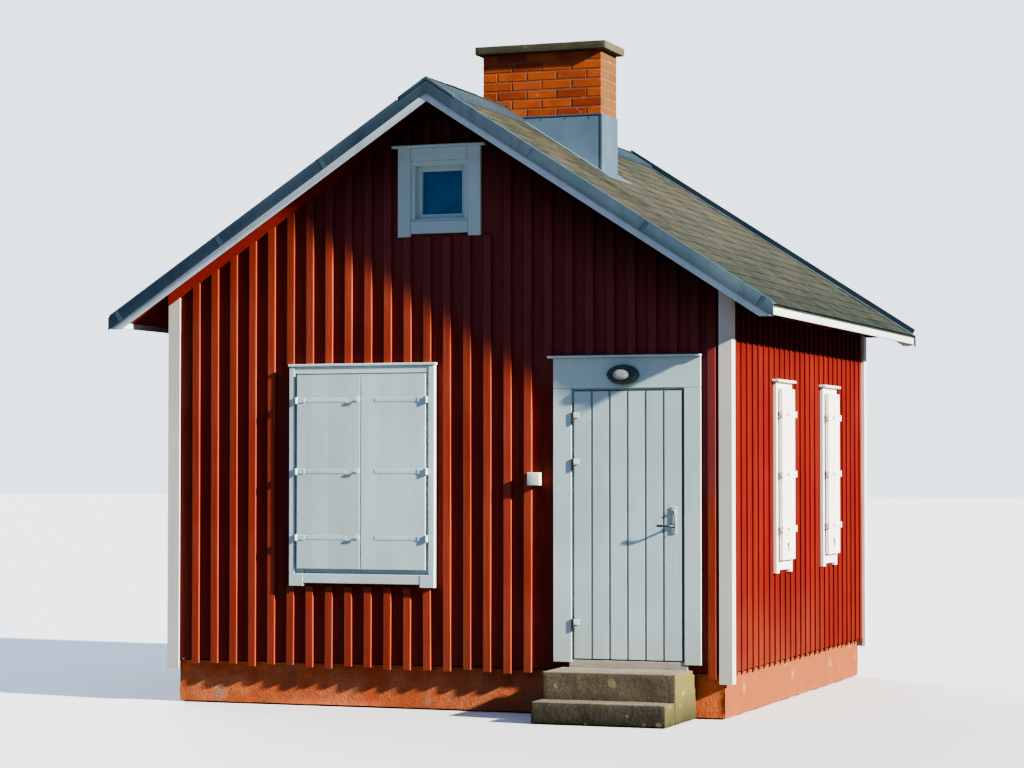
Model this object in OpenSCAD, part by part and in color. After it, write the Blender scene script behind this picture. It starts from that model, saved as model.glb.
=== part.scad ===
// Small red board-clad coastal cabin with a brick chimney and shuttered windows.
// Millimetres, +Z up, ground at z = 0, front door faces -Y.

/* [House] */
// Width over the board walls
house_width = 4590; // [3600:10:6000]
// Length over the board walls
house_length = 4460; // [3800:10:6500]
// Thickness of the timber walls
wall_thick = 140; // [100:5:180]
// Height of the wall boards' lower edge above the ground
wall_bottom = 345; // [250:5:500]
// Height of the floor boards above the ground
floor_level = 400; // [380:5:600]
// Height of the wall left whole over the door and window holes, below the gable's joint
joint_margin = 60; // [40:5:120]

/* [Plinth and steps] */
// How far the plinth stands back from the board face
plinth_inset = 40; // [10:5:80]
// Thickness of the masonry plinth
plinth_thick = 220; // [180:10:300]
// Height of the upper step's tread
upper_step_top = 370; // [300:5:375]
// Reach of the upper step in front of the boards
upper_step_reach = 500; // [350:10:600]
// Height of the lower step's tread
lower_step_top = 170; // [120:5:220]
// Reach of the lower step in front of the boards
lower_step_reach = 750; // [650:10:900]
// Width of the steps
step_width = 1030; // [950:10:1200]

/* [Roof] */
// Roof pitch in degrees
roof_pitch = 33; // [25:1:40]
// Height of the roof covering at the ridge
ridge_height = 4800; // [4700:10:5400]
// Overhang of the roof beyond the front and back boards
verge_overhang = 300; // [200:10:450]
// Distance of the eave fascia's outer face from the side boards
eave_overhang = 397; // [300:1:500]
// Vertical thickness of the roof covering
covering_thick = 26; // [18:1:40]
// Vertical thickness of the roof boards
deck_thick = 30; // [20:1:45]
// Vertical depth of the rafters
rafter_depth = 120; // [90:5:180]
// Width of a rafter
rafter_width = 50; // [40:5:80]
// Thickness of the bargeboards and fascias
barge_thick = 22; // [18:1:30]
// Depth of the bargeboard's lower edge below the covering, measured upright
barge_drop = 160; // [130:5:220]
// Height of the fascia's lower edge below the covering at the eave
fascia_drop = 85; // [75:5:160]
// Upright drop of the verge flashing
verge_drop = 97; // [60:1:120]
// Thickness of the sheet-metal flashings
sheet_thick = 6; // [3:1:8]
// Width of a ridge cap wing, measured level
ridge_wing = 230; // [150:10:300]
// Upright thickness of the ridge cap
ridge_cap_thick = 30; // [20:1:45]

/* [Chimney] */
// Width of the chimney across the ridge
chimney_width = 1020; // [700:10:1200]
// Depth of the chimney along the ridge
chimney_depth = 400; // [350:10:600]
// Distance of the chimney from the front boards
chimney_front = 1400; // [1200:10:2200]
// Sideways place of the chimney's middle
chimney_middle = 330; // [0:10:400]
// Height of the chimney's top above the roof's ridge
chimney_rise = 510; // [400:10:1200]
// Thickness of the cap slab
cap_thick = 70; // [40:5:100]
// Overhang of the cap slab
cap_overhang = 55; // [20:5:80]
// Width of one flue
flue_width = 250; // [150:10:300]
// Depth of one flue
flue_depth = 200; // [140:10:240]
// Depth of the flashing's upper edge below the roof's ridge
flashing_drop = 78; // [20:1:120]
// Width of the flashing's flange on the covering
flange_width = 100; // [60:5:150]
// Height of the flues' closed foot above the floor
flue_foot = 600; // [400:10:900]

/* [Door] */
// Distance of the door's lock edge from the right wall's board face
door_corner_gap = 358; // [300:1:600]
// Width of the door leaf
door_width = 840; // [700:1:870]
// Height of the door leaf
door_height = 2000; // [1900:5:2040]
// Thickness of the door leaf
door_thick = 45; // [38:1:55]
// Height of the door leaf's lower edge
door_bottom = 430; // [425:1:640]
// Running gap round the door leaf
door_gap = 7; // [6:0.5:10]
// Thickness of the door frame
jamb_thick = 38; // [30:1:50]
// Height of the lever above the door's lower edge
lever_height = 997; // [900:1:1100]
// Distance of the lever's spindle from the lock edge
backset = 62; // [50:1:80]
// Height of the lock cylinder above the lever
cylinder_rise = 99; // [70:1:120]

/* [Windows] */
// Distance of the front window's middle from the left wall's board face
front_window_place = 1660; // [1300:5:1700]
// Width over the front window's casing
front_casing_width = 1220; // [1000:2:1300]
// Height of the front window casing's lower edge
front_casing_bottom = 961; // [850:1:1100]
// Height of the front window casing's upper edge
front_casing_top = 2643; // [2500:1:2680]
// Width over the two front shutters
front_shutter_width = 1080; // [900:1:1150]
// Distance of the point midway between the side windows from the front board face
side_window_middle = 2281; // [2150:1:2400]

// Distance of each side window from that point
side_window_shift = 773; // [700:1:900]
// Width over a side window's casing
side_casing_width = 490; // [450:2:700]
// Height of a side window casing's lower edge
side_casing_bottom = 1054; // [900:1:1200]
// Height of a side window casing's upper edge
side_casing_top = 2528; // [2400:1:2700]
// Width over the two shutters of a side window
side_shutter_width = 400; // [380:1:430]
// Depth of the attic window's middle below the roof's ridge
attic_window_drop = 825; // [780:5:900]
// Width over the attic window's casing
attic_casing_width = 684; // [600:2:700]
// Width and height of the attic window's hole
attic_hole = 440; // [380:2:460]
// How far the casings stand out from the boards
casing_proud = 34; // [28:1:45]
// Reach of the drip caps over the casings
drip_reach = 26; // [15:1:50]
// Width of the window frames' members
sash_member = 55; // [40:1:70]
// Depth of the window frames
sash_depth = 60; // [45:1:80]
// Distance of the window frames behind the board face
sash_inset = 35; // [20:1:50]
// Thickness of the window glass
glass_thick = 6; // [4:1:8]

/* [Shutters] */
// Thickness of a shutter
shutter_thick = 26; // [20:1:32]
// Gap between a shutter and the casing behind it
shutter_back_gap = 6; // [5.5:0.5:10]
// Gap between the two shutters of a window
shutter_gap = 7; // [6.5:0.5:10]
// Radius of a shutter's hinge pin
shutter_pin_radius = 4; // [3:0.5:5]
// Running clearance of the hinge pins
pin_play = 0.05; // [0.02:0.01:0.1]

/* [Hidden] */
half_width = house_width / 2;
past = 1;
slope = tan(roof_pitch);
deck_top = ridge_height - covering_thick;
deck_bottom = deck_top - deck_thick;
rafter_bottom = deck_bottom - rafter_depth;
fascia_face = half_width + eave_overhang;
fascia_back = fascia_face - barge_thick;
covering_lip = 18;
eave_edge = fascia_face + covering_lip;
chimney_top = ridge_height + chimney_rise;
flashing_top = ridge_height - flashing_drop;
attic_window_height = ridge_height - attic_window_drop;
corner_proud = 25;
corner_leg = 75;
corner_drop = 80;
step_clearance = 6;
step_seat = 5;
nose_reach = 28;
nose_height = 26;
frame_depth = 95;
stop_depth = 15;
stop_gap = 6;
casing_lap = 13;
door_left_board = 147;
door_right_board = 128;
door_head_board = 230;
casing_foot_gap = 30;
drip_height = 20;
drip_end = 42;
attic_head_board = 124;
attic_foot_board = 99;
front_side_board = 120;
front_foot_board = 119;
front_head_board = 103;
side_side_board = 80;
side_foot_board = 100;
side_head_board = 90;
casing_foot = 24;
casing_foot_step = 15;
verge_top_width = 75;
rafter_clearance = 35;
tail_rise = 5;
barge_tail_drop = 15;
cap_gap = 110;
lever_length = 120;
lever_reach = 45;
lever_bar = 14;
lever_tall = 18;
spindle_radius = 8.5;
spindle_hole = 9;
plate_width = 40;
plate_thick = 6;
plate_below = 60;
plate_above = 40;
cylinder_radius = 13;
hinge_radius = 8;
hinge_pin = 4.5;
hinge_barrel = 45;
hinge_plate = 46;
seat_play = 0.3;
slant_play = 0.05;
fascia_bottom = ridge_height - fascia_face * slope - fascia_drop;
verge_reach = verge_overhang + sheet_thick;
back_reach = house_length + verge_reach;
front_y = (lower_step_reach - back_reach) / 2;
door_right = half_width - door_corner_gap;
door_left = door_right - door_width;
front_window_middle = front_window_place - half_width;
switch_width = 100;
switch_depth = 70;
switch_gap = 98;
switch_rise = 1292;
hole_left = door_left - door_gap - jamb_thick;
hole_right = door_right + door_gap + jamb_thick;
hole_top = door_bottom + door_height + door_gap + jamb_thick;
threshold_top = door_bottom - door_gap;
door_front = -30;
gable_joint = max(hole_top, front_casing_top - front_head_board) + joint_margin;
door_middle = (door_left + door_right) / 2;
hinge_x = door_left - 10;
hinge_y = door_front - 6;
door_hinge_heights = [
    door_bottom + 250, door_bottom + door_height - 550, door_bottom + door_height - 200
];
lever_x = door_right - backset;
lever_z = door_bottom + lever_height;
cylinder_z = lever_z + cylinder_rise;
chimney_left = chimney_middle - chimney_width / 2;
chimney_back = chimney_front + chimney_depth;
inner_back = house_length - wall_thick;
rafter_side_gap = rafter_clearance + rafter_width / 2;
rafter_two = chimney_front - rafter_side_gap;
rafter_three = chimney_back + rafter_side_gap;
rafter_one = (wall_thick + rafter_two) / 2;
rafter_step = (inner_back - rafter_three) / 3;
rafter_four = rafter_three + rafter_step;
rafter_five = rafter_three + 2 * rafter_step;
rafter_places = [rafter_one, rafter_two, rafter_three, rafter_four, rafter_five];
front_hole_width = front_casing_width - 2 * front_side_board;
front_hole_bottom = front_casing_bottom + front_foot_board;
front_hole_top = front_casing_top - front_head_board;
side_hole_width = side_casing_width - 2 * side_side_board;
side_hole_bottom = side_casing_bottom + side_foot_board;
side_hole_top = side_casing_top - side_head_board;
attic_bottom = attic_window_height - attic_hole / 2;
attic_top = attic_window_height + attic_hole / 2;
shutter_back = casing_proud + shutter_back_gap;
shutter_front = shutter_back + shutter_thick;
strap_thick = 4;
strap_half = 15;
pin_barrel = 8;
pin_y = -(shutter_front + strap_thick / 2);
pin_out = pin_barrel;
shutter_foot_gap = 113;
side_near = side_window_middle - side_window_shift;
side_far = side_window_middle + side_window_shift;

module at_house() {
    translate([0, front_y, 0])
        children();
}

// Upright profile given in X and Z, run along Y from one place to another
module run_along(from_y, to_y) {
    translate([0, to_y, 0])
        rotate([90, 0, 0])
            linear_extrude(height = to_y - from_y)
                children();
}

// Both roof slopes as one band between two heights at the ridge
module roof_band(top, bottom, reach) {
    polygon([
        [0, top], [reach, top - reach * slope], [reach, bottom - reach * slope],
        [0, bottom], [-reach, bottom - reach * slope], [-reach, top - reach * slope]
    ]);
}

// One slope of the roof, side 1 for the right one and -1 for the left one
module roof_side(side, top, bottom, reach) {
    polygon([
        [0, top], [side * reach, top - reach * slope],
        [side * reach, bottom - reach * slope], [0, bottom]
    ]);
}

module chimney_block(extra, from_z, to_z) {
    translate([chimney_left - extra, chimney_front - extra, from_z])
        cube([chimney_width + 2 * extra, chimney_depth + 2 * extra, to_z - from_z]);
}

module gable_outline(from_z) {
    polygon([
        [-half_width, from_z], [half_width, from_z],
        [half_width, deck_bottom - half_width * slope],
        [0, deck_bottom], [-half_width, deck_bottom - half_width * slope]
    ]);
}

// Rafter pair with its tails cut level with the fascia
module rafter_outline() {
    tail_bottom = fascia_bottom + tail_rise;
    tail_start = (rafter_bottom - tail_bottom) / slope;
    polygon([
        [0, deck_bottom], [fascia_back, deck_bottom - fascia_back * slope],
        [fascia_back, tail_bottom], [tail_start, tail_bottom], [0, rafter_bottom],
        [-tail_start, tail_bottom], [-fascia_back, tail_bottom],
        [-fascia_back, deck_bottom - fascia_back * slope]
    ]);
}

module rafter_set() {
    for (place = rafter_places)
        run_along(place - rafter_width / 2, place + rafter_width / 2)
            rafter_outline();
}

module foundation() {
    outer_x = half_width - plinth_inset;
    inner_x = outer_x - plinth_thick;
    color([0.42, 0.2, 0.16])
        at_house()
            difference() {
                translate([-outer_x, plinth_inset, 0])
                    cube([2 * outer_x, house_length - 2 * plinth_inset, wall_bottom]);
                translate([-inner_x, plinth_inset + plinth_thick, -past])
                    cube([
                        2 * inner_x, house_length - 2 * plinth_inset - 2 * plinth_thick,
                        wall_bottom + 2 * past
                    ]);
            }
}

module lower_step() {
    color([0.55, 0.5, 0.44])
        at_house()
            translate([door_middle - step_width / 2, -lower_step_reach, 0])
                cube([step_width, lower_step_reach - upper_step_reach, lower_step_top]);
}

module upper_step() {
    color([0.55, 0.5, 0.44])
        at_house() {
            translate([door_middle - step_width / 2, -upper_step_reach, 0])
                cube([
                    step_width, upper_step_reach - casing_proud - step_clearance, upper_step_top
                ]);
            translate([door_middle - step_width / 2, -casing_proud - step_clearance, 0])
                cube([
                    step_width, casing_proud + step_clearance + plinth_inset, wall_bottom - step_seat
                ]);
        }
}

module floor() {
    color([0.62, 0.45, 0.28])
        at_house()
            difference() {
                translate([-half_width + wall_thick, wall_thick, wall_bottom])
                    cube([
                        house_width - 2 * wall_thick, house_length - 2 * wall_thick,
                        floor_level - wall_bottom
                    ]);
                chimney_block(0, wall_bottom - past, floor_level + past);
            }
}

module threshold() {
    color([0.5, 0.42, 0.33])
        at_house() {
            translate([hole_left, 0, wall_bottom])
                cube([hole_right - hole_left, wall_thick, threshold_top - wall_bottom]);
            translate([hole_left, -nose_reach, threshold_top - nose_height])
                cube([hole_right - hole_left, nose_reach, nose_height]);
        }
}

module front_wall_left() {
    color([0.6, 0.14, 0.09])
        at_house()
            difference() {
                translate([-half_width, 0, wall_bottom])
                    cube([half_width + hole_left, wall_thick, gable_joint - wall_bottom]);
                translate([
                    front_window_middle - front_hole_width / 2, -past, front_hole_bottom
                ])
                    cube([
                        front_hole_width, wall_thick + 2 * past, front_hole_top - front_hole_bottom
                    ]);
            }
}

module front_wall_right() {
    color([0.6, 0.14, 0.09])
        at_house()
            translate([hole_right, 0, wall_bottom])
                cube([half_width - hole_right, wall_thick, gable_joint - wall_bottom]);
}

module front_gable() {
    color([0.6, 0.14, 0.09])
        at_house()
            difference() {
                union() {
                    run_along(0, wall_thick)
                        gable_outline(gable_joint);
                    translate([hole_left, 0, hole_top])
                        cube([hole_right - hole_left, wall_thick, gable_joint - hole_top + past]);
                }
                translate([-attic_hole / 2, -past, attic_bottom])
                    cube([attic_hole, wall_thick + 2 * past, attic_hole]);
            }
}

module back_wall() {
    color([0.6, 0.14, 0.09])
        at_house()
            difference() {
                run_along(inner_back, house_length)
                    gable_outline(wall_bottom);
                translate([-attic_hole / 2, inner_back - past, attic_bottom])
                    cube([attic_hole, wall_thick + 2 * past, attic_hole]);
            }
}

// Side wall with its two window holes and the seats cut for the rafters
module side_wall(side) {
    inner = half_width - wall_thick;
    difference() {
        run_along(wall_thick, inner_back)
            polygon([
                [side * inner, wall_bottom], [side * half_width, wall_bottom],
                [side * half_width, deck_bottom - half_width * slope],
                [side * inner, deck_bottom - inner * slope]
            ]);
        for (middle = [side_near, side_far])
            translate([
                side * (half_width - wall_thick / 2) - wall_thick / 2 - past,
                middle - side_hole_width / 2, side_hole_bottom
            ])
                cube([wall_thick + 2 * past, side_hole_width, side_hole_top - side_hole_bottom]);
        rafter_set();
    }
}

module left_wall() {
    color([0.6, 0.14, 0.09])
        at_house()
            side_wall(-1);
}

module right_wall() {
    color([0.6, 0.14, 0.09])
        at_house()
            side_wall(1);
}

// White angle of two boards round each corner, up to the roof boards
module corner_boards() {
    outer = half_width + corner_proud;
    inner = half_width - corner_leg;
    foot = wall_bottom - corner_drop;
    color([0.9, 0.92, 0.9])
        at_house()
            for (side = [-1, 1])
                for (front = [0, 1])
                    difference() {
                        run_along(
                            front == 1 ? -corner_proud : house_length - corner_leg,
                            front == 1 ? corner_leg : house_length + corner_proud
                        )
                            polygon([
                                [side * inner, foot], [side * outer, foot],
                                [side * outer, deck_bottom - outer * slope],
                                [side * inner, deck_bottom - inner * slope]
                            ]);
                        translate([
                            side * (half_width - corner_leg - past) - corner_leg - past,
                            front == 1 ? 0 : house_length - corner_leg - past, 0
                        ])
                            cube([2 * corner_leg + 2 * past, corner_leg + past, ridge_height]);
                    }
}

module rafters() {
    color([0.45, 0.13, 0.08])
        at_house()
            rafter_set();
}

module roof_boards(side) {
    difference() {
        run_along(-verge_overhang + barge_thick, house_length + verge_overhang - barge_thick)
            roof_side(side, deck_top, deck_bottom + slant_play, fascia_back);
        chimney_block(0, wall_bottom, chimney_top);
    }
}

module roof_boards_left() {
    color([0.45, 0.13, 0.08])
        at_house()
            roof_boards(-1);
}

module roof_boards_right() {
    color([0.45, 0.13, 0.08])
        at_house()
            roof_boards(1);
}

module roof_covering(side) {
    difference() {
        run_along(-verge_overhang, house_length + verge_overhang)
            roof_side(side, ridge_height, deck_top + slant_play, eave_edge);
        chimney_block(0, wall_bottom, chimney_top);
    }
}

module roof_covering_left() {
    color([0.4, 0.4, 0.33])
        at_house()
            roof_covering(-1);
}

module roof_covering_right() {
    color([0.4, 0.4, 0.33])
        at_house()
            roof_covering(1);
}

module barge_outline() {
    bottom = ridge_height - barge_drop;
    foot = fascia_bottom - barge_tail_drop;
    foot_start = (bottom - foot) / slope;
    polygon([
        [0, deck_top], [fascia_face, deck_top - fascia_face * slope],
        [fascia_face, foot], [foot_start, foot], [0, bottom],
        [-foot_start, foot], [-fascia_face, foot], [-fascia_face, deck_top - fascia_face * slope]
    ]);
}

module bargeboards() {
    color([0.9, 0.92, 0.9])
        at_house() {
            run_along(-verge_overhang, -verge_overhang + barge_thick)
                barge_outline();
            run_along(house_length + verge_overhang - barge_thick, house_length + verge_overhang)
                barge_outline();
        }
}

// Upright leg over the bargeboard and a top leg that stops at the ridge cap
module verge_angle(face_y, out) {
    low_y = out < 0 ? face_y - sheet_thick : face_y;
    top_low = out < 0 ? face_y - sheet_thick : face_y - verge_top_width;
    top_high = out < 0 ? face_y + verge_top_width : face_y + sheet_thick;
    difference() {
        union() {
            run_along(low_y, low_y + sheet_thick)
                roof_band(ridge_height + sheet_thick, ridge_height - verge_drop, eave_edge);
            run_along(top_low, top_high)
                roof_band(ridge_height + sheet_thick, ridge_height, eave_edge);
        }
        run_along(top_low - past, top_high + past)
            roof_band(ridge_height + ridge_wing, ridge_height - sheet_thick, ridge_wing);
    }
}

module verge_flashing() {
    color([0.5, 0.56, 0.6])
        at_house() {
            verge_angle(-verge_overhang, -1);
            verge_angle(house_length + verge_overhang, 1);
        }
}

module fascias() {
    color([0.9, 0.92, 0.9])
        at_house()
            for (side = [-1, 1])
                run_along(-verge_overhang + barge_thick, house_length + verge_overhang - barge_thick)
                    polygon([
                        [side * fascia_back, fascia_bottom], [side * fascia_face, fascia_bottom],
                        [side * fascia_face, deck_top - fascia_face * slope],
                        [side * fascia_back, deck_top - fascia_back * slope]
                    ]);
}

module ridge_cap() {
    color([0.5, 0.56, 0.6])
        at_house() {
            run_along(-verge_reach, chimney_front - cap_gap)
                roof_band(ridge_height + ridge_cap_thick, ridge_height, ridge_wing);
            run_along(chimney_back + cap_gap, house_length + verge_reach)
                roof_band(ridge_height + ridge_cap_thick, ridge_height, ridge_wing);
        }
}

// Two flues side by side, open at the top
module flues(from_z, to_z) {
    web = (chimney_width - 2 * flue_width) / 3;
    for (first = [0, 1])
        translate([
            chimney_left + web + first * (flue_width + web),
            chimney_front + (chimney_depth - flue_depth) / 2, from_z
        ])
            cube([flue_width, flue_depth, to_z - from_z]);
}

module chimney_stack() {
    color([0.72, 0.3, 0.16])
        at_house()
            difference() {
                chimney_block(0, 0, chimney_top - cap_thick);
                flues(floor_level + flue_foot, chimney_top);
            }
}

module chimney_cap() {
    color([0.24, 0.27, 0.24])
        at_house()
            difference() {
                chimney_block(cap_overhang, chimney_top - cap_thick, chimney_top);
                flues(chimney_top - cap_thick - past, chimney_top + past);
            }
}

// Sheet-metal collar that follows both slopes, with a flange on the covering
module chimney_flashing() {
    color([0.66, 0.7, 0.72])
        at_house()
            difference() {
                union() {
                    chimney_block(sheet_thick, wall_bottom, flashing_top);
                    intersection() {
                        chimney_block(flange_width, wall_bottom, chimney_top);
                        run_along(0, house_length)
                            roof_band(ridge_height + sheet_thick, deck_top, eave_edge);
                    }
                }
                chimney_block(0, 0, chimney_top);
                run_along(-past, house_length + past)
                    roof_band(ridge_height, -ridge_height, eave_edge);
            }
}

module door_casing() {
    inner_left = door_left - door_gap - casing_lap;
    inner_right = door_right + door_gap + casing_lap;
    outer_left = inner_left - door_left_board;
    outer_right = inner_right + door_right_board;
    inner_top = hole_top - jamb_thick + casing_lap;
    foot = upper_step_top + casing_foot_gap;
    head_top = inner_top + door_head_board;
    color([0.9, 0.92, 0.9])
        at_house() {
            difference() {
                translate([outer_left, -casing_proud, foot])
                    cube([outer_right - outer_left, casing_proud, head_top - foot]);
                translate([inner_left, -casing_proud - past, foot - past])
                    cube([inner_right - inner_left, casing_proud + 2 * past, inner_top - foot + past]);
                translate([hole_left, -nose_reach, foot - past])
                    cube([hole_right - hole_left, nose_reach + past, threshold_top - foot + past]);
            }
            translate([outer_left - drip_end, -casing_proud - drip_reach, head_top - past])
                cube([
                    outer_right - outer_left + drip_end + 5, casing_proud + drip_reach, drip_height
                ]);
        }
}

// Frame with the rebate that stops the leaf
module door_frame() {
    stop_y = door_front + door_thick + stop_gap;
    inner_left = door_left - door_gap;
    inner_right = door_right + door_gap;
    inner_top = door_bottom + door_height + door_gap;
    color([0.9, 0.92, 0.9])
        at_house()
            difference() {
                translate([hole_left, 0, threshold_top])
                    cube([hole_right - hole_left, frame_depth, hole_top - threshold_top]);
                translate([inner_left, -past, threshold_top - past])
                    cube([inner_right - inner_left, stop_y + past, inner_top - threshold_top + past]);
                translate([inner_left + stop_depth, -past, threshold_top - past])
                    cube([
                        inner_right - inner_left - 2 * stop_depth, frame_depth + 2 * past,
                        inner_top - stop_depth - threshold_top + past
                    ]);
            }
}

module door_leaf() {
    color([0.9, 0.92, 0.9])
        at_house()
            difference() {
                translate([door_left, door_front, door_bottom])
                    cube([door_width, door_thick, door_height]);
                translate([lever_x, door_front - past, lever_z])
                    rotate([-90, 0, 0])
                        cylinder(r = spindle_hole, h = door_thick + 2 * past, $fn = 48);
            }
}

// Leaf halves of the door hinges
module door_hinge_straps() {
    color([0.08, 0.08, 0.08])
        at_house()
            for (middle = door_hinge_heights)
                difference() {
                    union() {
                        translate([hinge_x, hinge_y, middle + seat_play])
                            cylinder(r = hinge_radius, h = hinge_barrel, $fn = 48);
                        translate([hinge_x, hinge_y + past, middle + seat_play])
                            cube([hinge_plate, door_front - hinge_y - past, hinge_barrel]);
                    }
                    translate([hinge_x, hinge_y, middle - past])
                        cylinder(r = hinge_pin + pin_play, h = hinge_barrel + 2 * past, $fn = 48);
                }
}

// Levers on both faces of the door, joined by the spindle
module door_lever() {
    outer_plate = door_front - plate_thick;
    inner_plate = door_front + door_thick + plate_thick;
    color([0.25, 0.25, 0.26])
        at_house() {
            translate([lever_x, outer_plate - lever_reach, lever_z])
                rotate([-90, 0, 0])
                    cylinder(
                        r = spindle_radius, h = inner_plate - outer_plate + 2 * lever_reach, $fn = 48
                    );
            for (bar_y = [outer_plate - lever_reach - lever_bar + past, inner_plate + lever_reach - past])
                translate([lever_x - lever_length, bar_y, lever_z - lever_tall / 2])
                    cube([lever_length + lever_tall / 2, lever_bar, lever_tall]);
        }
}

// Long plates under the levers, with the lock cylinder through both
module lock_plates() {
    color([0.3, 0.3, 0.31])
        at_house()
            difference() {
                union() {
                    for (face_y = [door_front - plate_thick, door_front + door_thick])
                        translate([lever_x - plate_width / 2, face_y, lever_z - plate_below])
                            cube([plate_width, plate_thick, plate_below + cylinder_rise + plate_above]);
                    for (face_y = [
                        door_front - 2 * plate_thick, door_front + door_thick + plate_thick - past
                    ])
                        translate([lever_x, face_y, cylinder_z])
                            rotate([-90, 0, 0])
                                cylinder(r = cylinder_radius, h = plate_thick + past, $fn = 48);
                }
                translate([lever_x, door_front - plate_width, lever_z])
                    rotate([-90, 0, 0])
                        cylinder(r = spindle_hole, h = door_thick + 2 * plate_width, $fn = 48);
            }
}

module oval(radius, spread, depth) {
    rotate([90, 0, 0]) {
        translate([-spread / 2, 0, 0])
            cylinder(r = radius, h = depth, $fn = 96);
        translate([spread / 2, 0, 0])
            cylinder(r = radius, h = depth, $fn = 96);
        translate([-spread / 2, -radius, 0])
            cube([spread, 2 * radius, depth]);
    }
}

module lamp_body() {
    color([0.12, 0.13, 0.13])
        at_house()
            translate([door_middle - 30, -casing_proud, hole_top + 76])
                difference() {
                    oval(75, 100, 62);
                    translate([0, -40, 0])
                        oval(55, 80, 30);
                }
}

module lamp_glass() {
    color([0.95, 0.95, 0.92])
        at_house()
            translate([door_middle - 30, -casing_proud - 40, hole_top + 76])
                oval(55, 80, 45);
}

module switch_box() {
    color([0.92, 0.92, 0.9])
        at_house()
            translate([
                door_left - door_gap - casing_lap - door_left_board - switch_gap - switch_width,
                -switch_depth, door_bottom + switch_rise
            ])
                cube([switch_width, switch_depth, switch_width]);
}

// Casing seen from outside: middle at x = 0, boards at y = 0, outside at -y
module window_casing(width, bottom, top, hole_width, hole_bottom, hole_top_z) {
    difference() {
        translate([-width / 2, -casing_proud, bottom - casing_foot])
            cube([width, casing_proud, top - bottom + casing_foot]);
        translate([-hole_width / 2, -casing_proud - past, hole_bottom])
            cube([hole_width, casing_proud + 2 * past, hole_top_z - hole_bottom]);
        translate([-hole_width / 2 + casing_foot_step, -casing_proud - past, bottom - casing_foot - past])
            cube([hole_width - 2 * casing_foot_step, casing_proud + 2 * past, casing_foot + past]);
    }
    translate([-width / 2 - drip_end, -casing_proud - drip_reach, top - past])
        cube([width + 2 * drip_end, casing_proud + drip_reach, drip_height + 2]);
}

// Fixed frame that fills a wall's hole, with a mullion where it is a wide one
module window_sash(hole_width, hole_bottom, hole_top_z, lights) {
    light_width = (hole_width - (lights + 1) * sash_member) / lights;
    difference() {
        translate([-hole_width / 2, sash_inset, hole_bottom])
            cube([hole_width, sash_depth, hole_top_z - hole_bottom]);
        for (light = [0 : lights - 1])
            translate([
                -hole_width / 2 + sash_member + light * (light_width + sash_member),
                sash_inset - past, hole_bottom + sash_member
            ])
                cube([
                    light_width, sash_depth + 2 * past, hole_top_z - hole_bottom - 2 * sash_member
                ]);
    }
}

module window_panes(hole_width, hole_bottom, hole_top_z, lights) {
    light_width = (hole_width - (lights + 1) * sash_member) / lights;
    for (light = [0 : lights - 1])
        translate([
            -hole_width / 2 + sash_member + light * (light_width + sash_member),
            sash_inset + sash_depth / 2, hole_bottom + sash_member
        ])
            cube([light_width, glass_thick, hole_top_z - hole_bottom - 2 * sash_member]);
}

function hinge_rows(bottom, top) = [bottom + 240, (bottom + top) / 2, top - 200];

// Left leaf of a window's two shutters, with its straps and barrels
module shutter_leaf(total_width, bottom, top) {
    leaf_width = (total_width - shutter_gap) / 2;
    edge = -total_width / 2;
    difference() {
        union() {
            translate([edge, -shutter_front, bottom])
                cube([leaf_width, shutter_thick, top - bottom]);
            for (row = hinge_rows(bottom, top)) {
                translate([edge - pin_out, -shutter_front - strap_thick, row - strap_half])
                    cube([leaf_width * 0.8, strap_thick, 2 * strap_half]);
                translate([edge - pin_out, pin_y, row - strap_half])
                    cylinder(r = pin_barrel, h = 2 * strap_half, $fn = 48);
            }
        }
        for (row = hinge_rows(bottom, top))
            translate([edge - pin_out, pin_y, row - 2 * strap_half])
                cylinder(r = shutter_pin_radius + pin_play, h = 4 * strap_half, $fn = 48);
    }
}

// Pins and arms that carry the left leaf, fixed to the casing
module shutter_pins(total_width, bottom, top) {
    edge = -total_width / 2;
    arm_radius = pin_barrel - past;
    arm_height = 13 - seat_play;
    for (row = hinge_rows(bottom, top)) {
        translate([edge - pin_out - arm_radius, pin_y, row - strap_half - 13])
            cube([arm_radius + 3, -pin_y - casing_proud, arm_height]);
        translate([edge - pin_out, pin_y, row - strap_half - 13])
            cylinder(r = arm_radius, h = arm_height, $fn = 48);
        translate([edge - pin_out, pin_y, row - strap_half - 5])
            cylinder(r = shutter_pin_radius, h = 2 * strap_half + 3, $fn = 48);
    }
}

module at_front_window() {
    at_house()
        translate([front_window_middle, 0, 0])
            children();
}

module at_right_window(middle) {
    at_house()
        translate([half_width, middle, 0])
            rotate([0, 0, 90])
                children();
}

module at_left_window(middle) {
    at_house()
        translate([-half_width, middle, 0])
            rotate([0, 0, -90])
                children();
}

shutter_head_gap = 63;
side_shutter_foot_gap = 80;
side_shutter_head_gap = 50;
front_leaf_bottom = front_casing_bottom + shutter_foot_gap;
front_leaf_top = front_casing_top - shutter_head_gap;
side_leaf_bottom = side_casing_bottom + side_shutter_foot_gap;
side_leaf_top = side_casing_top - side_shutter_head_gap;

module front_casing() {
    color([0.9, 0.92, 0.9])
        at_front_window()
            window_casing(
                front_casing_width, front_casing_bottom, front_casing_top,
                front_hole_width, front_hole_bottom, front_hole_top
            );
}

module front_shutter_left() {
    color([0.88, 0.9, 0.88])
        at_front_window()
            shutter_leaf(front_shutter_width, front_leaf_bottom, front_leaf_top);
}

module front_shutter_right() {
    color([0.88, 0.9, 0.88])
        at_front_window()
            mirror([1, 0, 0])
                shutter_leaf(front_shutter_width, front_leaf_bottom, front_leaf_top);
}

module side_casing() {
    window_casing(
        side_casing_width, side_casing_bottom, side_casing_top,
        side_hole_width, side_hole_bottom, side_hole_top
    );
}

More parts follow.
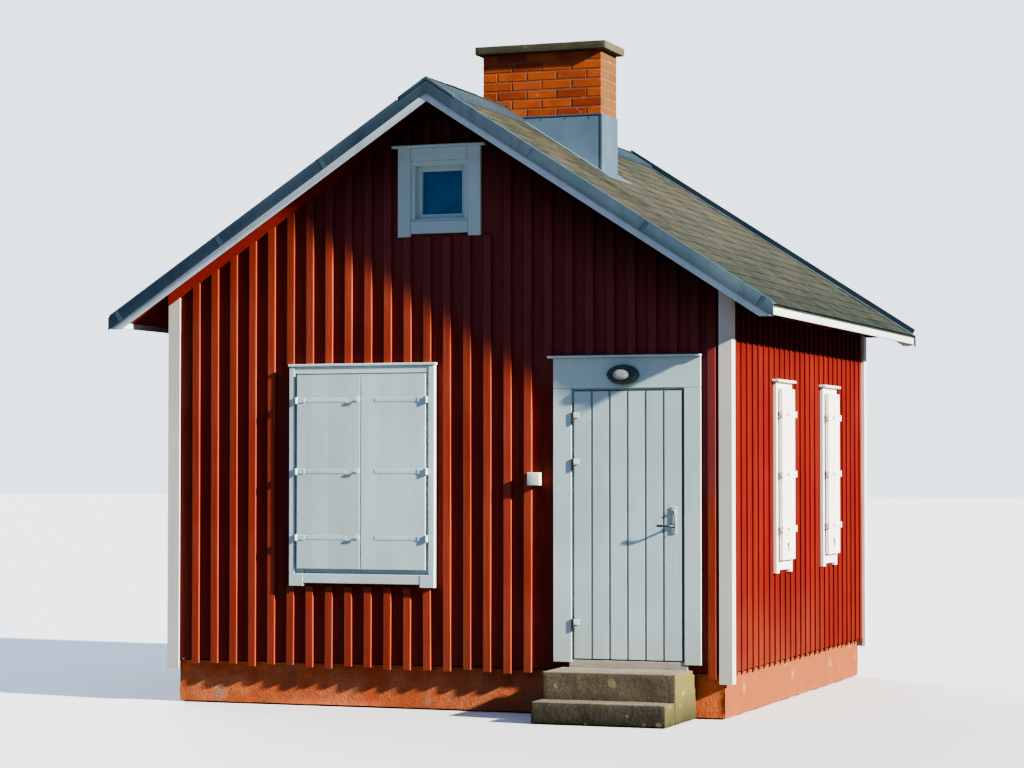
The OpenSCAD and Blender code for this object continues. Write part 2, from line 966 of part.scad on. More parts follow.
module side_leaf() {
    shutter_leaf(side_shutter_width, side_leaf_bottom, side_leaf_top);
}

module all_side_windows() {
    for (middle = [side_near, side_far]) {
        at_right_window(middle)
            children();
        at_left_window(middle)
            children();
    }
}

module attic_pair() {
    at_house()
        children();
    at_house()
        translate([0, house_length, 0])
            rotate([0, 0, 180])
                children();
}

module side_casings() {
    color([0.9, 0.92, 0.9])
        all_side_windows()
            side_casing();
}

module window_sashes() {
    color([0.9, 0.92, 0.9]) {
        at_front_window()
            window_sash(front_hole_width, front_hole_bottom, front_hole_top, 2);
        all_side_windows()
            window_sash(side_hole_width, side_hole_bottom, side_hole_top, 1);
        attic_pair()
            window_sash(attic_hole, attic_bottom, attic_top, 1);
    }
}

module window_glass() {
    color([0.3, 0.4, 0.5, 0.5]) {
        at_front_window()
            window_panes(front_hole_width, front_hole_bottom, front_hole_top, 2);
        all_side_windows()
            window_panes(side_hole_width, side_hole_bottom, side_hole_top, 1);
        attic_pair()
            window_panes(attic_hole, attic_bottom, attic_top, 1);
    }
}

// Frame halves of the door hinges, and the pins that carry the shutters
module hinge_pins() {
    color([0.08, 0.08, 0.08]) {
        at_house()
            for (middle = door_hinge_heights) {
                translate([hinge_x, hinge_y, middle - hinge_barrel])
                    cylinder(r = hinge_radius, h = hinge_barrel, $fn = 48);
                translate([hinge_x, hinge_y, middle - past])
                    cylinder(r = hinge_pin, h = hinge_barrel, $fn = 48);
                translate([hinge_x - hinge_radius + past, hinge_y, middle - hinge_barrel])
                    cube([
                        door_left - door_gap - hinge_x + hinge_radius - past, -hinge_y, hinge_barrel
                    ]);
            }
        for (flip = [0, 1]) {
            at_front_window()
                mirror([flip, 0, 0])
                    shutter_pins(front_shutter_width, front_leaf_bottom, front_leaf_top);
            for (middle = [side_near, side_far])
                at_right_window(middle)
                    mirror([flip, 0, 0])
                        shutter_pins(side_shutter_width, side_leaf_bottom, side_leaf_top);
        }
    }
}

module near_shutter_left() {
    color([0.88, 0.9, 0.88])
        at_right_window(side_near)
            side_leaf();
}

module near_shutter_right() {
    color([0.88, 0.9, 0.88])
        at_right_window(side_near)
            mirror([1, 0, 0])
                side_leaf();
}

module far_shutter_left() {
    color([0.88, 0.9, 0.88])
        at_right_window(side_far)
            side_leaf();
}

module far_shutter_right() {
    color([0.88, 0.9, 0.88])
        at_right_window(side_far)
            mirror([1, 0, 0])
                side_leaf();
}

// Closed shutters of the unseen side, fixed to their casings
module left_shutters() {
    leaf_width = (side_shutter_width - shutter_gap) / 2;
    color([0.88, 0.9, 0.88])
        for (middle = [side_near, side_far])
            at_left_window(middle)
                for (first = [0, 1])
                    translate([
                        -side_shutter_width / 2 + first * (leaf_width + shutter_gap),
                        -casing_proud - shutter_thick, side_leaf_bottom
                    ])
                        cube([leaf_width, shutter_thick, side_leaf_top - side_leaf_bottom]);
}

module attic_casings() {
    color([0.9, 0.92, 0.9])
        attic_pair()
            window_casing(
                attic_casing_width, attic_bottom - attic_foot_board, attic_top + attic_head_board,
                attic_hole, attic_bottom, attic_top
            );
}

foundation();
lower_step();
upper_step();
floor();
threshold();
front_wall_left();
front_wall_right();
front_gable();
left_wall();
right_wall();
back_wall();
corner_boards();
rafters();
roof_boards_left();
roof_boards_right();
roof_covering_left();
roof_covering_right();
bargeboards();
verge_flashing();
fascias();
ridge_cap();
chimney_stack();
chimney_cap();
chimney_flashing();
door_casing();
door_frame();
door_leaf();
door_hinge_straps();
door_lever();
lock_plates();
lamp_body();
lamp_glass();
switch_box();
front_casing();
front_shutter_left();
front_shutter_right();
side_casings();
window_sashes();
window_glass();
hinge_pins();
near_shutter_left();
near_shutter_right();
far_shutter_left();
far_shutter_right();
left_shutters();
attic_casings();
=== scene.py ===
import math
import random

import bmesh
import bpy
from mathutils import Euler, Matrix, Vector, noise


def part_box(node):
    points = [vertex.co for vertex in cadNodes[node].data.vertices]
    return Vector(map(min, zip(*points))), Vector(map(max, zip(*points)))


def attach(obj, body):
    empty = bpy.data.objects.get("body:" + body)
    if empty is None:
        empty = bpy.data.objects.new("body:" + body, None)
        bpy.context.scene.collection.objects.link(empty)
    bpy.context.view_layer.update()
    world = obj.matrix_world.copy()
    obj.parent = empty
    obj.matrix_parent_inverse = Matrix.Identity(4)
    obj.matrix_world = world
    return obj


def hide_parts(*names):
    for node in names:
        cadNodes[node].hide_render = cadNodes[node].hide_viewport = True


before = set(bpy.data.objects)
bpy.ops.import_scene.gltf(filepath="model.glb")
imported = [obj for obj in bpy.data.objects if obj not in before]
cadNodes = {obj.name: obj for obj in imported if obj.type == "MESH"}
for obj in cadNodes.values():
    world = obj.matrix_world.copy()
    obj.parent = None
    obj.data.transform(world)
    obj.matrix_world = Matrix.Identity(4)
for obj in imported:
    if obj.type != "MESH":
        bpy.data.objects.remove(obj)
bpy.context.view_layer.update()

# Small red coastal cabin: upright boards and battens, slates, a brick chimney, white shutters.
# Metres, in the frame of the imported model: X along the front, Y to the back, Z up.

print("stage: frame loaded")


# Places taken from the frame

def low(node):
    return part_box(node)[0]


def high(node):
    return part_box(node)[1]


frontY = low("front_wall_left").y  # face of the front boards
backY = high("back_wall").y
halfWidth = high("right_wall").x
wallFoot = low("right_wall").z
deckUnder = high("back_wall").z  # underside of the roof boards at the ridge
ridgeZ = high("roof_covering_left").z
eaveX = high("roof_covering_right").x
vergeFront = low("bargeboards").y
vergeBack = high("bargeboards").y
pitch = math.radians(33)
slope = math.tan(pitch)


def wallPlace(side, along=0.0):
    # local X runs to the right along a wall seen from outside, Y goes into it, Z is up
    turn = {"front": 0, "right": 90, "back": 180, "left": 270}[side]
    spot = {
        "front": (along, frontY, 0),
        "right": (halfWidth, along, 0),
        "back": (-along, backY, 0),
        "left": (-halfWidth, -along, 0),
    }[side]
    return Matrix.Translation(spot) @ Matrix.Rotation(math.radians(turn), 4, "Z")


def roofPlace(side, y, down, lift=0.0):
    # a spot on a roof slope, side 1 right and -1 left, "down" metres below the ridge
    return Vector((
        side * (down * math.cos(pitch) + lift * math.sin(pitch)), y,
        ridgeZ - down * math.sin(pitch) + lift * math.cos(pitch),
    ))


# Node tree helpers

def put(tree, kind, inputs=None, **settings):
    node = tree.nodes.new(kind)
    for name, value in settings.items():
        setattr(node, name, value)
    for key, value in (inputs or {}).items():
        if isinstance(value, bpy.types.NodeSocket):
            tree.links.new(value, node.inputs[key])
        else:
            node.inputs[key].default_value = value
    return node


def calc(tree, operation, a, b=0.0, c=0.0):
    return put(tree, "ShaderNodeMath", {0: a, 1: b, 2: c}, operation=operation).outputs[0]


def vectorCalc(tree, operation, a, b):
    return put(tree, "ShaderNodeVectorMath", {0: a, 1: b}, operation=operation).outputs


def span(tree, value, fromLow, fromHigh, toLow=0.0, toHigh=1.0):
    ends = {"From Min": fromLow, "From Max": fromHigh, "To Min": toLow, "To Max": toHigh}
    return put(tree, "ShaderNodeMapRange", {"Value": value, **ends}).outputs[0]


def cloud(tree, vector, scale, detail, **more):
    inputs = {"Vector": vector, "Scale": scale, "Detail": detail, **more}
    return put(tree, "ShaderNodeTexNoise", inputs).outputs["Fac"]


def axesOf(tree, vector):
    return put(tree, "ShaderNodeSeparateXYZ", {"Vector": vector}).outputs


def use(tree, group, inputs):
    return put(tree, "ShaderNodeGroup", inputs, node_tree=group).outputs


def newGroup(name, kind, inputs, outputs):
    tree = bpy.data.node_groups.new(name, kind)
    for label, (socketKind, value) in inputs.items():
        socket = tree.interface.new_socket(name=label, in_out="INPUT", socket_type="NodeSocket" + socketKind)
        if value is not None:
            socket.default_value = value
    for label, socketKind in outputs.items():
        tree.interface.new_socket(name=label, in_out="OUTPUT", socket_type="NodeSocket" + socketKind)
    return tree, tree.nodes.new("NodeGroupInput").outputs, tree.nodes.new("NodeGroupOutput").inputs


# Geometry trees: boards that run along edges, and shapes set at points

def namedVector(tree, name):
    return put(tree, "GeometryNodeInputNamedAttribute", {"Name": name}, data_type="FLOAT_VECTOR").outputs[0]


def shaken(tree, geometry, seed, scale, reach):
    # every point moved a little by noise
    spot = put(tree, "GeometryNodeInputPosition").outputs[0]
    wave = put(tree, "ShaderNodeTexNoise", {
        "Vector": spot, "W": seed, "Scale": scale, "Detail": 2.0,
    }, noise_dimensions="4D")
    centred = vectorCalc(tree, "SUBTRACT", wave.outputs["Color"], (0.5, 0.5, 0.5))[0]
    move = put(tree, "ShaderNodeVectorMath", {0: centred, "Scale": reach}, operation="SCALE").outputs[0]
    return put(tree, "GeometryNodeSetPosition", {"Geometry": geometry, "Offset": move}).outputs[0]


def closeTree(tree, start, end, geometry):
    painted = put(tree, "GeometryNodeSetMaterial", {"Geometry": geometry, "Material": start["Material"]})
    tree.links.new(painted.outputs[0], end[0])
    return tree


def makeRunTree():
    tree, start, end = newGroup("boardRuns", "GeometryNodeTree", {
        "Edges": ("Geometry", None), "Width": ("Float", 0.05), "Thickness": ("Float", 0.02),
        "Corner": ("Float", 0.003), "Bow": ("Float", 0.002), "Step": ("Float", 0.4),
        "Seed": ("Float", 0.0), "Material": ("Material", None),
    }, {"Boards": "Geometry"})
    lines = put(tree, "GeometryNodeMeshToCurve", {"Mesh": start["Edges"]}).outputs[0]
    stepped = put(tree, "GeometryNodeResampleCurve", {"Curve": lines, "Length": start["Step"]}, mode="LENGTH")
    turned = put(tree, "GeometryNodeSetCurveNormal", {
        "Curve": stepped.outputs[0], "Normal": namedVector(tree, "facing"),
    }, mode="FREE")
    bent = shaken(tree, turned.outputs[0], start["Seed"], 1.7, start["Bow"])
    section = put(tree, "GeometryNodeCurvePrimitiveQuadrilateral", {
        "Width": start["Thickness"], "Height": start["Width"],
    })
    rounded = put(tree, "GeometryNodeFilletCurve", {
        "Curve": section.outputs[0], "Count": 2, "Radius": start["Corner"], "Limit Radius": True,
    }, mode="POLY")
    boards = put(tree, "GeometryNodeCurveToMesh", {
        "Curve": bent, "Profile Curve": rounded.outputs[0], "Fill Caps": True,
    })
    real = put(tree, "GeometryNodeRealizeInstances", {"Geometry": boards.outputs[0]})
    return closeTree(tree, start, end, real.outputs[0])


def makePlaceTree():
    tree, start, end = newGroup("placedShapes", "GeometryNodeTree", {
        "Points": ("Geometry", None), "Shape": ("Object", None), "Uneven": ("Float", 0.0),
        "Grain": ("Float", 20.0), "Seed": ("Float", 0.0), "Material": ("Material", None),
    }, {"Shapes": "Geometry"})
    shape = put(tree, "GeometryNodeObjectInfo", {"Object": start["Shape"]})
    angle = put(tree, "FunctionNodeEulerToRotation", {0: namedVector(tree, "turn")})
    placed = put(tree, "GeometryNodeInstanceOnPoints", {
        "Points": start["Points"], "Instance": shape.outputs["Geometry"],
        "Rotation": angle.outputs[0], "Scale": namedVector(tree, "size"),
    })
    real = put(tree, "GeometryNodeRealizeInstances", {"Geometry": placed.outputs[0]})
    rough = shaken(tree, real.outputs[0], start["Seed"], start["Grain"], start["Uneven"])
    return closeTree(tree, start, end, rough)


runTree = makeRunTree()
placeTree = makePlaceTree()


# Making and finishing pieces

def link(name, mesh):
    piece = bpy.data.objects.new(name, mesh)
    bpy.context.scene.collection.objects.link(piece)
    return piece


def smooth(mesh, degrees=32):
    mesh.polygons.foreach_set("use_smooth", [True] * len(mesh.polygons))
    mesh.set_sharp_from_angle(angle=math.radians(degrees))
    mesh.update()


def finish(piece, slotName, body="house", replaces=(), degrees=32):
    smooth(piece.data, degrees)
    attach(piece, body)
    if replaces:
        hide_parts(*replaces)
    return piece


def pieceFrom(name, bm, materials, slotName, **more):
    bmesh.ops.recalc_face_normals(bm, faces=bm.faces)
    mesh = bpy.data.meshes.new(name)
    bm.to_mesh(mesh)
    bm.free()
    for material in materials:
        mesh.materials.append(material)
    return finish(link(name, mesh), slotName, **more)


def grow(name, tree, verts, edges, marks, values, slotName, **more):
    # runs one geometry tree on points or edges and keeps the result as a plain mesh
    mesh = bpy.data.meshes.new(name)
    mesh.from_pydata(verts, edges, [])
    for label, (kind, rows) in marks.items():
        mark = mesh.attributes.new(label, kind, "POINT")
        field = "vector" if kind == "FLOAT_VECTOR" else "value"
        mark.data.foreach_set(field, [n for row in rows for n in (row if field == "vector" else [row])])
    piece = link(name, mesh)
    modifier = piece.modifiers.new("make", "NODES")
    modifier.node_group = tree
    for item in tree.interface.items_tree:
        if item.in_out == "INPUT" and item.name in values:
            modifier[item.identifier] = values[item.name]
    graph = bpy.context.evaluated_depsgraph_get()
    made = bpy.data.meshes.new_from_object(
        piece.evaluated_get(graph), preserve_all_data_layers=True, depsgraph=graph
    )
    piece.modifiers.clear()
    piece.data = made
    made.name = name
    return finish(piece, slotName, **more)


def growBoards(name, runs, facing, values, slotName, seed=1, **more):
    # runs: (start, end) of each board's middle line
    more.setdefault("degrees", 20)
    chance = random.Random(seed)
    verts, edges, faces, tints = [], [], [], []
    for start, end in runs:
        tint = chance.uniform(-1, 1)
        edges.append((len(verts), len(verts) + 1))
        verts += [tuple(start), tuple(end)]
        faces += [tuple(facing)] * 2
        tints += [tint] * 2
    marks = {"facing": ("FLOAT_VECTOR", faces), "tint": ("FLOAT", tints)}
    return grow(name, runTree, verts, edges, marks, values, slotName, **more)


def growShapes(name, spots, values, slotName, **more):
    # spots: (place, turn, size, tint) of each shape
    marks = {
        "turn": ("FLOAT_VECTOR", [tuple(s[1]) for s in spots]),
        "size": ("FLOAT_VECTOR", [tuple(s[2]) for s in spots]),
        "tint": ("FLOAT", [s[3] for s in spots]),
    }
    return grow(name, placeTree, [tuple(s[0]) for s in spots], [], marks, values, slotName, **more)


def newForm():
    bm = bmesh.new()
    bm.faces.layers.float.new("tint")
    return bm


def addFaces(bm, verts, faces, place=None, tint=0.0, kind=0):
    layer = bm.faces.layers.float["tint"]
    made = [bm.verts.new(place @ Vector(v) if place else Vector(v)) for v in verts]
    for face in faces:
        new = bm.faces.new([made[i] for i in face])
        new[layer] = tint
        new.material_index = kind
    return made


def addBlock(bm, corner, opposite, edge=0.002, place=None, tint=0.0, kind=0):
    # a board or block with its edges eased
    lows = [min(a, b) for a, b in zip(corner, opposite)]
    highs = [max(a, b) for a, b in zip(corner, opposite)]
    edge = min([edge] + [(h - l) * 0.45 for l, h in zip(lows, highs)])
    verts = []
    for bits in range(8):
        for axis in range(3):
            point = []
            for k in range(3):
                inset = 0 if k == axis else edge
                point.append(highs[k] - inset if bits >> k & 1 else lows[k] + inset)
            verts.append(point)
    faces = [[bits * 3 + axis for axis in range(3)] for bits in range(8)]
    for axis in range(3):
        b, c = [k for k in range(3) if k != axis]
        for side in (0, 1):
            ring = [side << axis | i << b | j << c for i, j in ((0, 0), (1, 0), (1, 1), (0, 1))]
            faces.append([corner * 3 + axis for corner in ring])
        for i in (0, 1):
            for j in (0, 1):
                one = i << b | j << c
                two = one | 1 << axis
                faces.append([one * 3 + b, one * 3 + c, two * 3 + c, two * 3 + b])
    return addFaces(bm, verts, faces, place, tint, kind)


def addTurned(bm, outline, place, sides=20, tint=0.0, kind=0):
    # a form turned about local Z, outline as (radius, height), closed where the radius is 0
    verts, rings = [], []
    for radius, height in outline:
        if radius < 1e-6:
            rings.append([len(verts)])
            verts.append((0, 0, height))
            continue
        rings.append(list(range(len(verts), len(verts) + sides)))
        for i in range(sides):
            turn = 2 * math.pi * i / sides
            verts.append((radius * math.cos(turn), radius * math.sin(turn), height))
    faces = []
    for one, two in zip(rings, rings[1:]):
        for i in range(sides):
            j = (i + 1) % sides
            ring = [one[i % len(one)], one[j % len(one)], two[j % len(two)], two[i % len(two)]]
            faces.append(list(dict.fromkeys(ring)))
    return addFaces(bm, verts, [f for f in faces if len(f) > 2], place, tint, kind)


def addRod(bm, start, end, radius, edge=0.0008, sides=20, **more):
    start, end = Vector(start), Vector(end)
    length = (end - start).length
    place = Matrix.Translation(start) @ (end - start).to_track_quat("Z", "Y").to_matrix().to_4x4()
    outline = [
        (0, 0), (radius - edge, 0), (radius, edge), (radius, length - edge), (radius - edge, length), (0, length),
    ]
    return addTurned(bm, outline, place, sides, **more)


def addSheet(bm, outline, place, start, end, thick=0.0014, tint=0.0, kind=0):
    # bent sheet metal: an outline in local X and Z, drawn along local Y
    points = [Vector(p) for p in outline]
    under = []
    for i, point in enumerate(points):
        lines = [points[j + 1] - points[j] for j in (i - 1, i) if 0 <= j < len(points) - 1]
        normals = [Vector((-d.y, d.x)).normalized() for d in lines]
        middle = sum(normals, Vector((0, 0))).normalized()
        under.append(point - middle * thick / max(0.4, middle.dot(normals[0])))
    ring = points + under[::-1]
    count = len(ring)
    verts = [(p.x, run, p.y) for run in (start, end) for p in ring]
    faces = [[i, (i + 1) % count, (i + 1) % count + count, i + count] for i in range(count)]
    for i in range(len(points) - 1):
        quad = [i, i + 1, count - 2 - i, count - 1 - i]
        faces += [quad, [n + count for n in quad]]
    return addFaces(bm, verts, faces, place, tint, kind)


def addTube(bm, path, radii, sides=14, **more):
    # a rounded bar along points that lie level
    rings, verts = [], []
    path = [Vector(p) for p in path]
    for i, point in enumerate(path):
        ahead = (path[min(i + 1, len(path) - 1)] - path[max(i - 1, 0)]).normalized()
        across = ahead.cross(Vector((0, 0, 1))).normalized()
        wide, tall = radii[i]
        rings.append(range(len(verts), len(verts) + sides))
        for k in range(sides):
            turn = 2 * math.pi * k / sides
            verts.append(point + across * wide * math.cos(turn) + Vector((0, 0, tall * math.sin(turn))))
    faces = [list(rings[0]), list(rings[-1])]
    for one, two in zip(rings, rings[1:]):
        faces += [[one[k], one[(k + 1) % sides], two[(k + 1) % sides], two[k]] for k in range(sides)]
    return addFaces(bm, verts, faces, **more)


def cadForm(node):
    # a merged copy of a node's loose triangles, with its flat faces joined again
    bm = newForm()
    bm.from_mesh(cadNodes[node].data)
    bmesh.ops.remove_doubles(bm, verts=bm.verts, dist=1e-5)
    bmesh.ops.dissolve_limit(bm, angle_limit=math.radians(1), verts=bm.verts, edges=bm.edges)
    for face in bm.faces:
        face.material_index = 0
    return bm


def easeEdges(bm, size, steps=2):
    sharp = [e for e in bm.edges if len(e.link_faces) == 2 and e.calc_face_angle(0) > math.radians(25)]
    bmesh.ops.bevel(bm, geom=sharp, offset=size, segments=steps, profile=0.6, affect="EDGES", clamp_overlap=True)


def softened(name, node, size, material, slotName, extra=None):
    bm = cadForm(node)
    easeEdges(bm, size)
    if extra:
        extra(bm)
    return pieceFrom(name, bm, [material], slotName, replaces=[node])


def roughened(name, node, look, material, slotName):
    # a worn stone or cast form: cut into cells, then pushed in by noise
    bm = cadForm(node)
    easeEdges(bm, look["worn"])
    lowCorner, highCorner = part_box(node)
    for axis in range(3):
        reach = highCorner[axis] - lowCorner[axis]
        cells = max(2, round(reach / look["cell"]))
        for i in range(1, cells):
            spot, way = Vector((0, 0, 0)), Vector((0, 0, 0))
            spot[axis] = lowCorner[axis] + reach * i / cells
            way[axis] = 1
            geometry = list(bm.verts) + list(bm.edges) + list(bm.faces)
            bmesh.ops.bisect_plane(bm, geom=geometry, dist=1e-6, plane_co=spot, plane_no=way)
    bm.normal_update()
    shift = Vector((look["seed"], 3.1, 7.7))
    moves = []
    for vert in bm.verts:
        wide = noise.noise(vert.co * look["grain"] + shift) * 0.5 + 0.5
        fine = noise.noise(vert.co * look["grain"] * 3.7 + shift) * 0.5 + 0.5
        moves.append(vert.normal * -look["rough"] * (0.65 * wide + 0.35 * fine))
    for vert, move in zip(bm.verts, moves):
        vert.co += move
    return pieceFrom(name, bm, [material], slotName, replaces=[node], degrees=50)


def helperShape(name, build):
    bm = newForm()
    build(bm)
    bmesh.ops.recalc_face_normals(bm, faces=bm.faces)
    mesh = bpy.data.meshes.new(name)
    bm.to_mesh(mesh)
    bm.free()
    mesh.attributes.remove(mesh.attributes["tint"])  # each placed copy has its own
    return bpy.data.objects.new(name, mesh)


# Shader groups used by several finishes

def shaderGroup(name, outputs, **inputs):
    kinds = {key: ("Vector" if isinstance(value, tuple) else "Float", value) for key, value in inputs.items()}
    return newGroup(name, "ShaderNodeTree", {"Vector": ("Vector", None), **kinds}, dict.fromkeys(outputs, "Float"))


def giveOut(tree, end, **values):
    for label, value in values.items():
        tree.links.new(value, end[label])
    return tree


def makeGrainGroup():
    tree, start, end = shaderGroup("woodGrain", ("Fibre", "Height"), Stretch=(40, 40, 1.5))
    along = vectorCalc(tree, "MULTIPLY", start["Vector"], start["Stretch"])[0]
    coarse = calc(tree, "MULTIPLY", cloud(tree, along, 1.0, 4.0, Distortion=0.6), 0.55)
    mixed = calc(tree, "MULTIPLY_ADD", cloud(tree, along, 4.5, 3.0), 0.45, coarse)
    return giveOut(tree, end, Fibre=span(tree, mixed, 0.38, 0.62), Height=mixed)


def makeWeatherGroup():
    # soft patches, streaks that run down, and splash near the ground
    tree, start, end = shaderGroup("weathering", ("Patch", "Streak", "Splash"), Size=1.2)
    wide = cloud(tree, start["Vector"], start["Size"], 4.0)
    run = vectorCalc(tree, "MULTIPLY", start["Vector"], (9.0, 9.0, 0.55))[0]
    streak = cloud(tree, run, 1.0, 5.0, Roughness=0.6)
    near = span(tree, axesOf(tree, start["Vector"])["Z"], 0.25, 0.95, 1.0, 0.0)
    return giveOut(
        tree, end, Patch=span(tree, wide, 0.4, 0.66), Streak=span(tree, streak, 0.48, 0.72),
        Splash=calc(tree, "MULTIPLY", near, span(tree, wide, 0.3, 0.65)),
    )


def makeFlakeGroup():
    tree, start, end = shaderGroup("flaking", ("Chips",), Size=14.0, Amount=0.1)
    ragged = cloud(tree, start["Vector"], start["Size"], 8.0, Roughness=0.72)
    edge = calc(tree, "SUBTRACT", 0.78, calc(tree, "MULTIPLY", start["Amount"], 0.4))
    return giveOut(tree, end, Chips=span(tree, calc(tree, "SUBTRACT", ragged, edge), 0.0, 0.025))


def makeSpotGroup():
    # round, ragged growths such as lichen or rust blooms
    tree, start, end = shaderGroup("blooms", ("Blooms",), Size=12.0, Cover=0.3)
    rag = put(tree, "ShaderNodeTexNoise", {"Vector": start["Vector"], "Scale": 30.0, "Detail": 4.0})
    moved = put(tree, "ShaderNodeVectorMath", {
        0: rag.outputs["Color"], 1: (0.05, 0.05, 0.05), 2: start["Vector"],
    }, operation="MULTIPLY_ADD")
    cells = put(tree, "ShaderNodeTexVoronoi", {"Vector": moved.outputs[0], "Scale": start["Size"]}).outputs
    pick = put(tree, "ShaderNodeSeparateColor", {"Color": cells["Color"]}).outputs
    chosen = calc(tree, "LESS_THAN", pick[0], start["Cover"])
    size = calc(tree, "MULTIPLY_ADD", calc(tree, "POWER", pick[2], 2.0), 1.1, 0.35)
    near = span(tree, calc(tree, "DIVIDE", cells["Distance"], size), 0.28, 0.45, 1.0, 0.0)
    return giveOut(tree, end, Blooms=calc(tree, "MULTIPLY", chosen, near))


def makeJointGroup():
    # joints of flush boards, drawn across one direction
    tree, start, end = shaderGroup("flushJoints", ("Joint", "Board"), Across=(1, 0, 0), Board=0.12)
    run = vectorCalc(tree, "DOT_PRODUCT", start["Vector"], start["Across"])["Value"]
    count = calc(tree, "DIVIDE", run, start["Board"])
    away = calc(tree, "ABSOLUTE", calc(tree, "SUBTRACT", calc(tree, "FRACT", count), 0.5))
    pick = put(tree, "ShaderNodeTexWhiteNoise", {"W": calc(tree, "FLOOR", count)}, noise_dimensions="1D")
    return giveOut(tree, end, Joint=span(tree, away, 0.462, 0.492), Board=pick.outputs["Value"])


def makeRoomGroup():
    # 1 inside the room, 0 outside
    tree, start, end = shaderGroup("insideRoom", ("Inside",))
    axes = axesOf(tree, start["Vector"])
    margin = 0.07
    wide = calc(tree, "LESS_THAN", calc(tree, "ABSOLUTE", axes["X"]), halfWidth - margin)
    near = calc(tree, "GREATER_THAN", axes["Y"], frontY + margin)
    far = calc(tree, "LESS_THAN", axes["Y"], backY - margin)
    return giveOut(tree, end, Inside=calc(tree, "MULTIPLY", wide, calc(tree, "MULTIPLY", near, far)))


# depth: how far below the right verge its shadow reaches on the gables, from the sun's way; it places the painted
# shadow
shading = {"depth": (frontY - vergeFront) * (5.6 * slope + 2.5), "soft": 0.22, "margin": 0.10}


def makeShelterGroup():
    # Shelter is painted shade: 1 right under the roof, where the eaves and verges shade the wall, 0 further down
    # Shaded is a painted shadow: 1 where the right verge casts its shadow on a gable
    tree, start, end = shaderGroup("shelter", ("Shelter", "Shaded"), Reach=0.5, Depth=shading["depth"])
    axes = axesOf(tree, start["Vector"])
    roofHeight = calc(tree, "MULTIPLY_ADD", calc(tree, "ABSOLUTE", axes["X"]), -slope, ridgeZ)
    below = calc(tree, "SUBTRACT", roofHeight, axes["Z"])
    below = calc(tree, "MULTIPLY_ADD", cloud(tree, start["Vector"], 2.5, 3.0), -0.12, below)
    reach = calc(tree, "ADD", start["Reach"], shading["margin"])
    under = span(tree, below, shading["margin"], reach, 1.0, 0.0)
    # the painted shade is weaker on the left side, which the sun reaches under its verge
    exposed = span(tree, axes["X"], -1.3, -0.3, 0.15, 1.0)  # the left side gets the sun and fades all the same
    rightLine = calc(tree, "MULTIPLY_ADD", axes["X"], -slope, ridgeZ)
    beside = calc(tree, "SUBTRACT", rightLine, axes["Z"])
    edge = calc(tree, "SUBTRACT", start["Depth"], shading["soft"])
    return giveOut(
        tree, end, Shelter=calc(tree, "MULTIPLY", under, exposed),
        Shaded=span(tree, beside, edge, start["Depth"], 1.0, 0.0),
    )


grainGroup = makeGrainGroup()
weatherGroup = makeWeatherGroup()
flakeGroup = makeFlakeGroup()
spotGroup = makeSpotGroup()
jointGroup = makeJointGroup()
roomGroup = makeRoomGroup()
shelterGroup = makeShelterGroup()


# Finishes

def blend(tree, mask, base, top, mode="MIX", by=None):
    # mixes two colours by a mask, which "by" can weaken
    if by is not None:
        mask = calc(tree, "MULTIPLY", mask, by)
    node = put(tree, "ShaderNodeMix", data_type="RGBA", blend_type=mode)
    sockets = {socket.identifier: socket for socket in node.inputs}
    for key, value in (("Factor_Float", mask), ("A_Color", base), ("B_Color", top)):
        if isinstance(value, bpy.types.NodeSocket):
            tree.links.new(value, sockets[key])
        else:
            sockets[key].default_value = (*value, 1.0)
    return next(socket for socket in node.outputs if socket.identifier == "Result_Color")


def brightened(tree, colour, amount, reach=0.14):
    # lighter or darker by a board's or stone's own tint
    value = calc(tree, "MULTIPLY_ADD", amount, reach, 1.0)
    return put(tree, "ShaderNodeHueSaturation", {"Color": colour, "Value": value}).outputs[0]


def ownTint(tree):
    return put(tree, "ShaderNodeAttribute", attribute_name="tint").outputs["Fac"]


def startMaterial(name, **sockets):
    material = bpy.data.materials.new(name)
    material.use_nodes = True
    tree = material.node_tree
    shader = tree.nodes["Principled BSDF"]
    for key, value in sockets.items():
        shader.inputs[key.replace("_", " ")].default_value = value
    return material, tree, shader, put(tree, "ShaderNodeTexCoord").outputs["Object"]


def endMaterial(tree, shader, colour, roughness, height, strength, depth):
    tree.links.new(colour, shader.inputs["Base Color"])
    tree.links.new(roughness, shader.inputs["Roughness"])
    bump = put(tree, "ShaderNodeBump", {"Height": height, "Strength": strength, "Distance": depth})
    tree.links.new(bump.outputs[0], shader.inputs["Normal"])


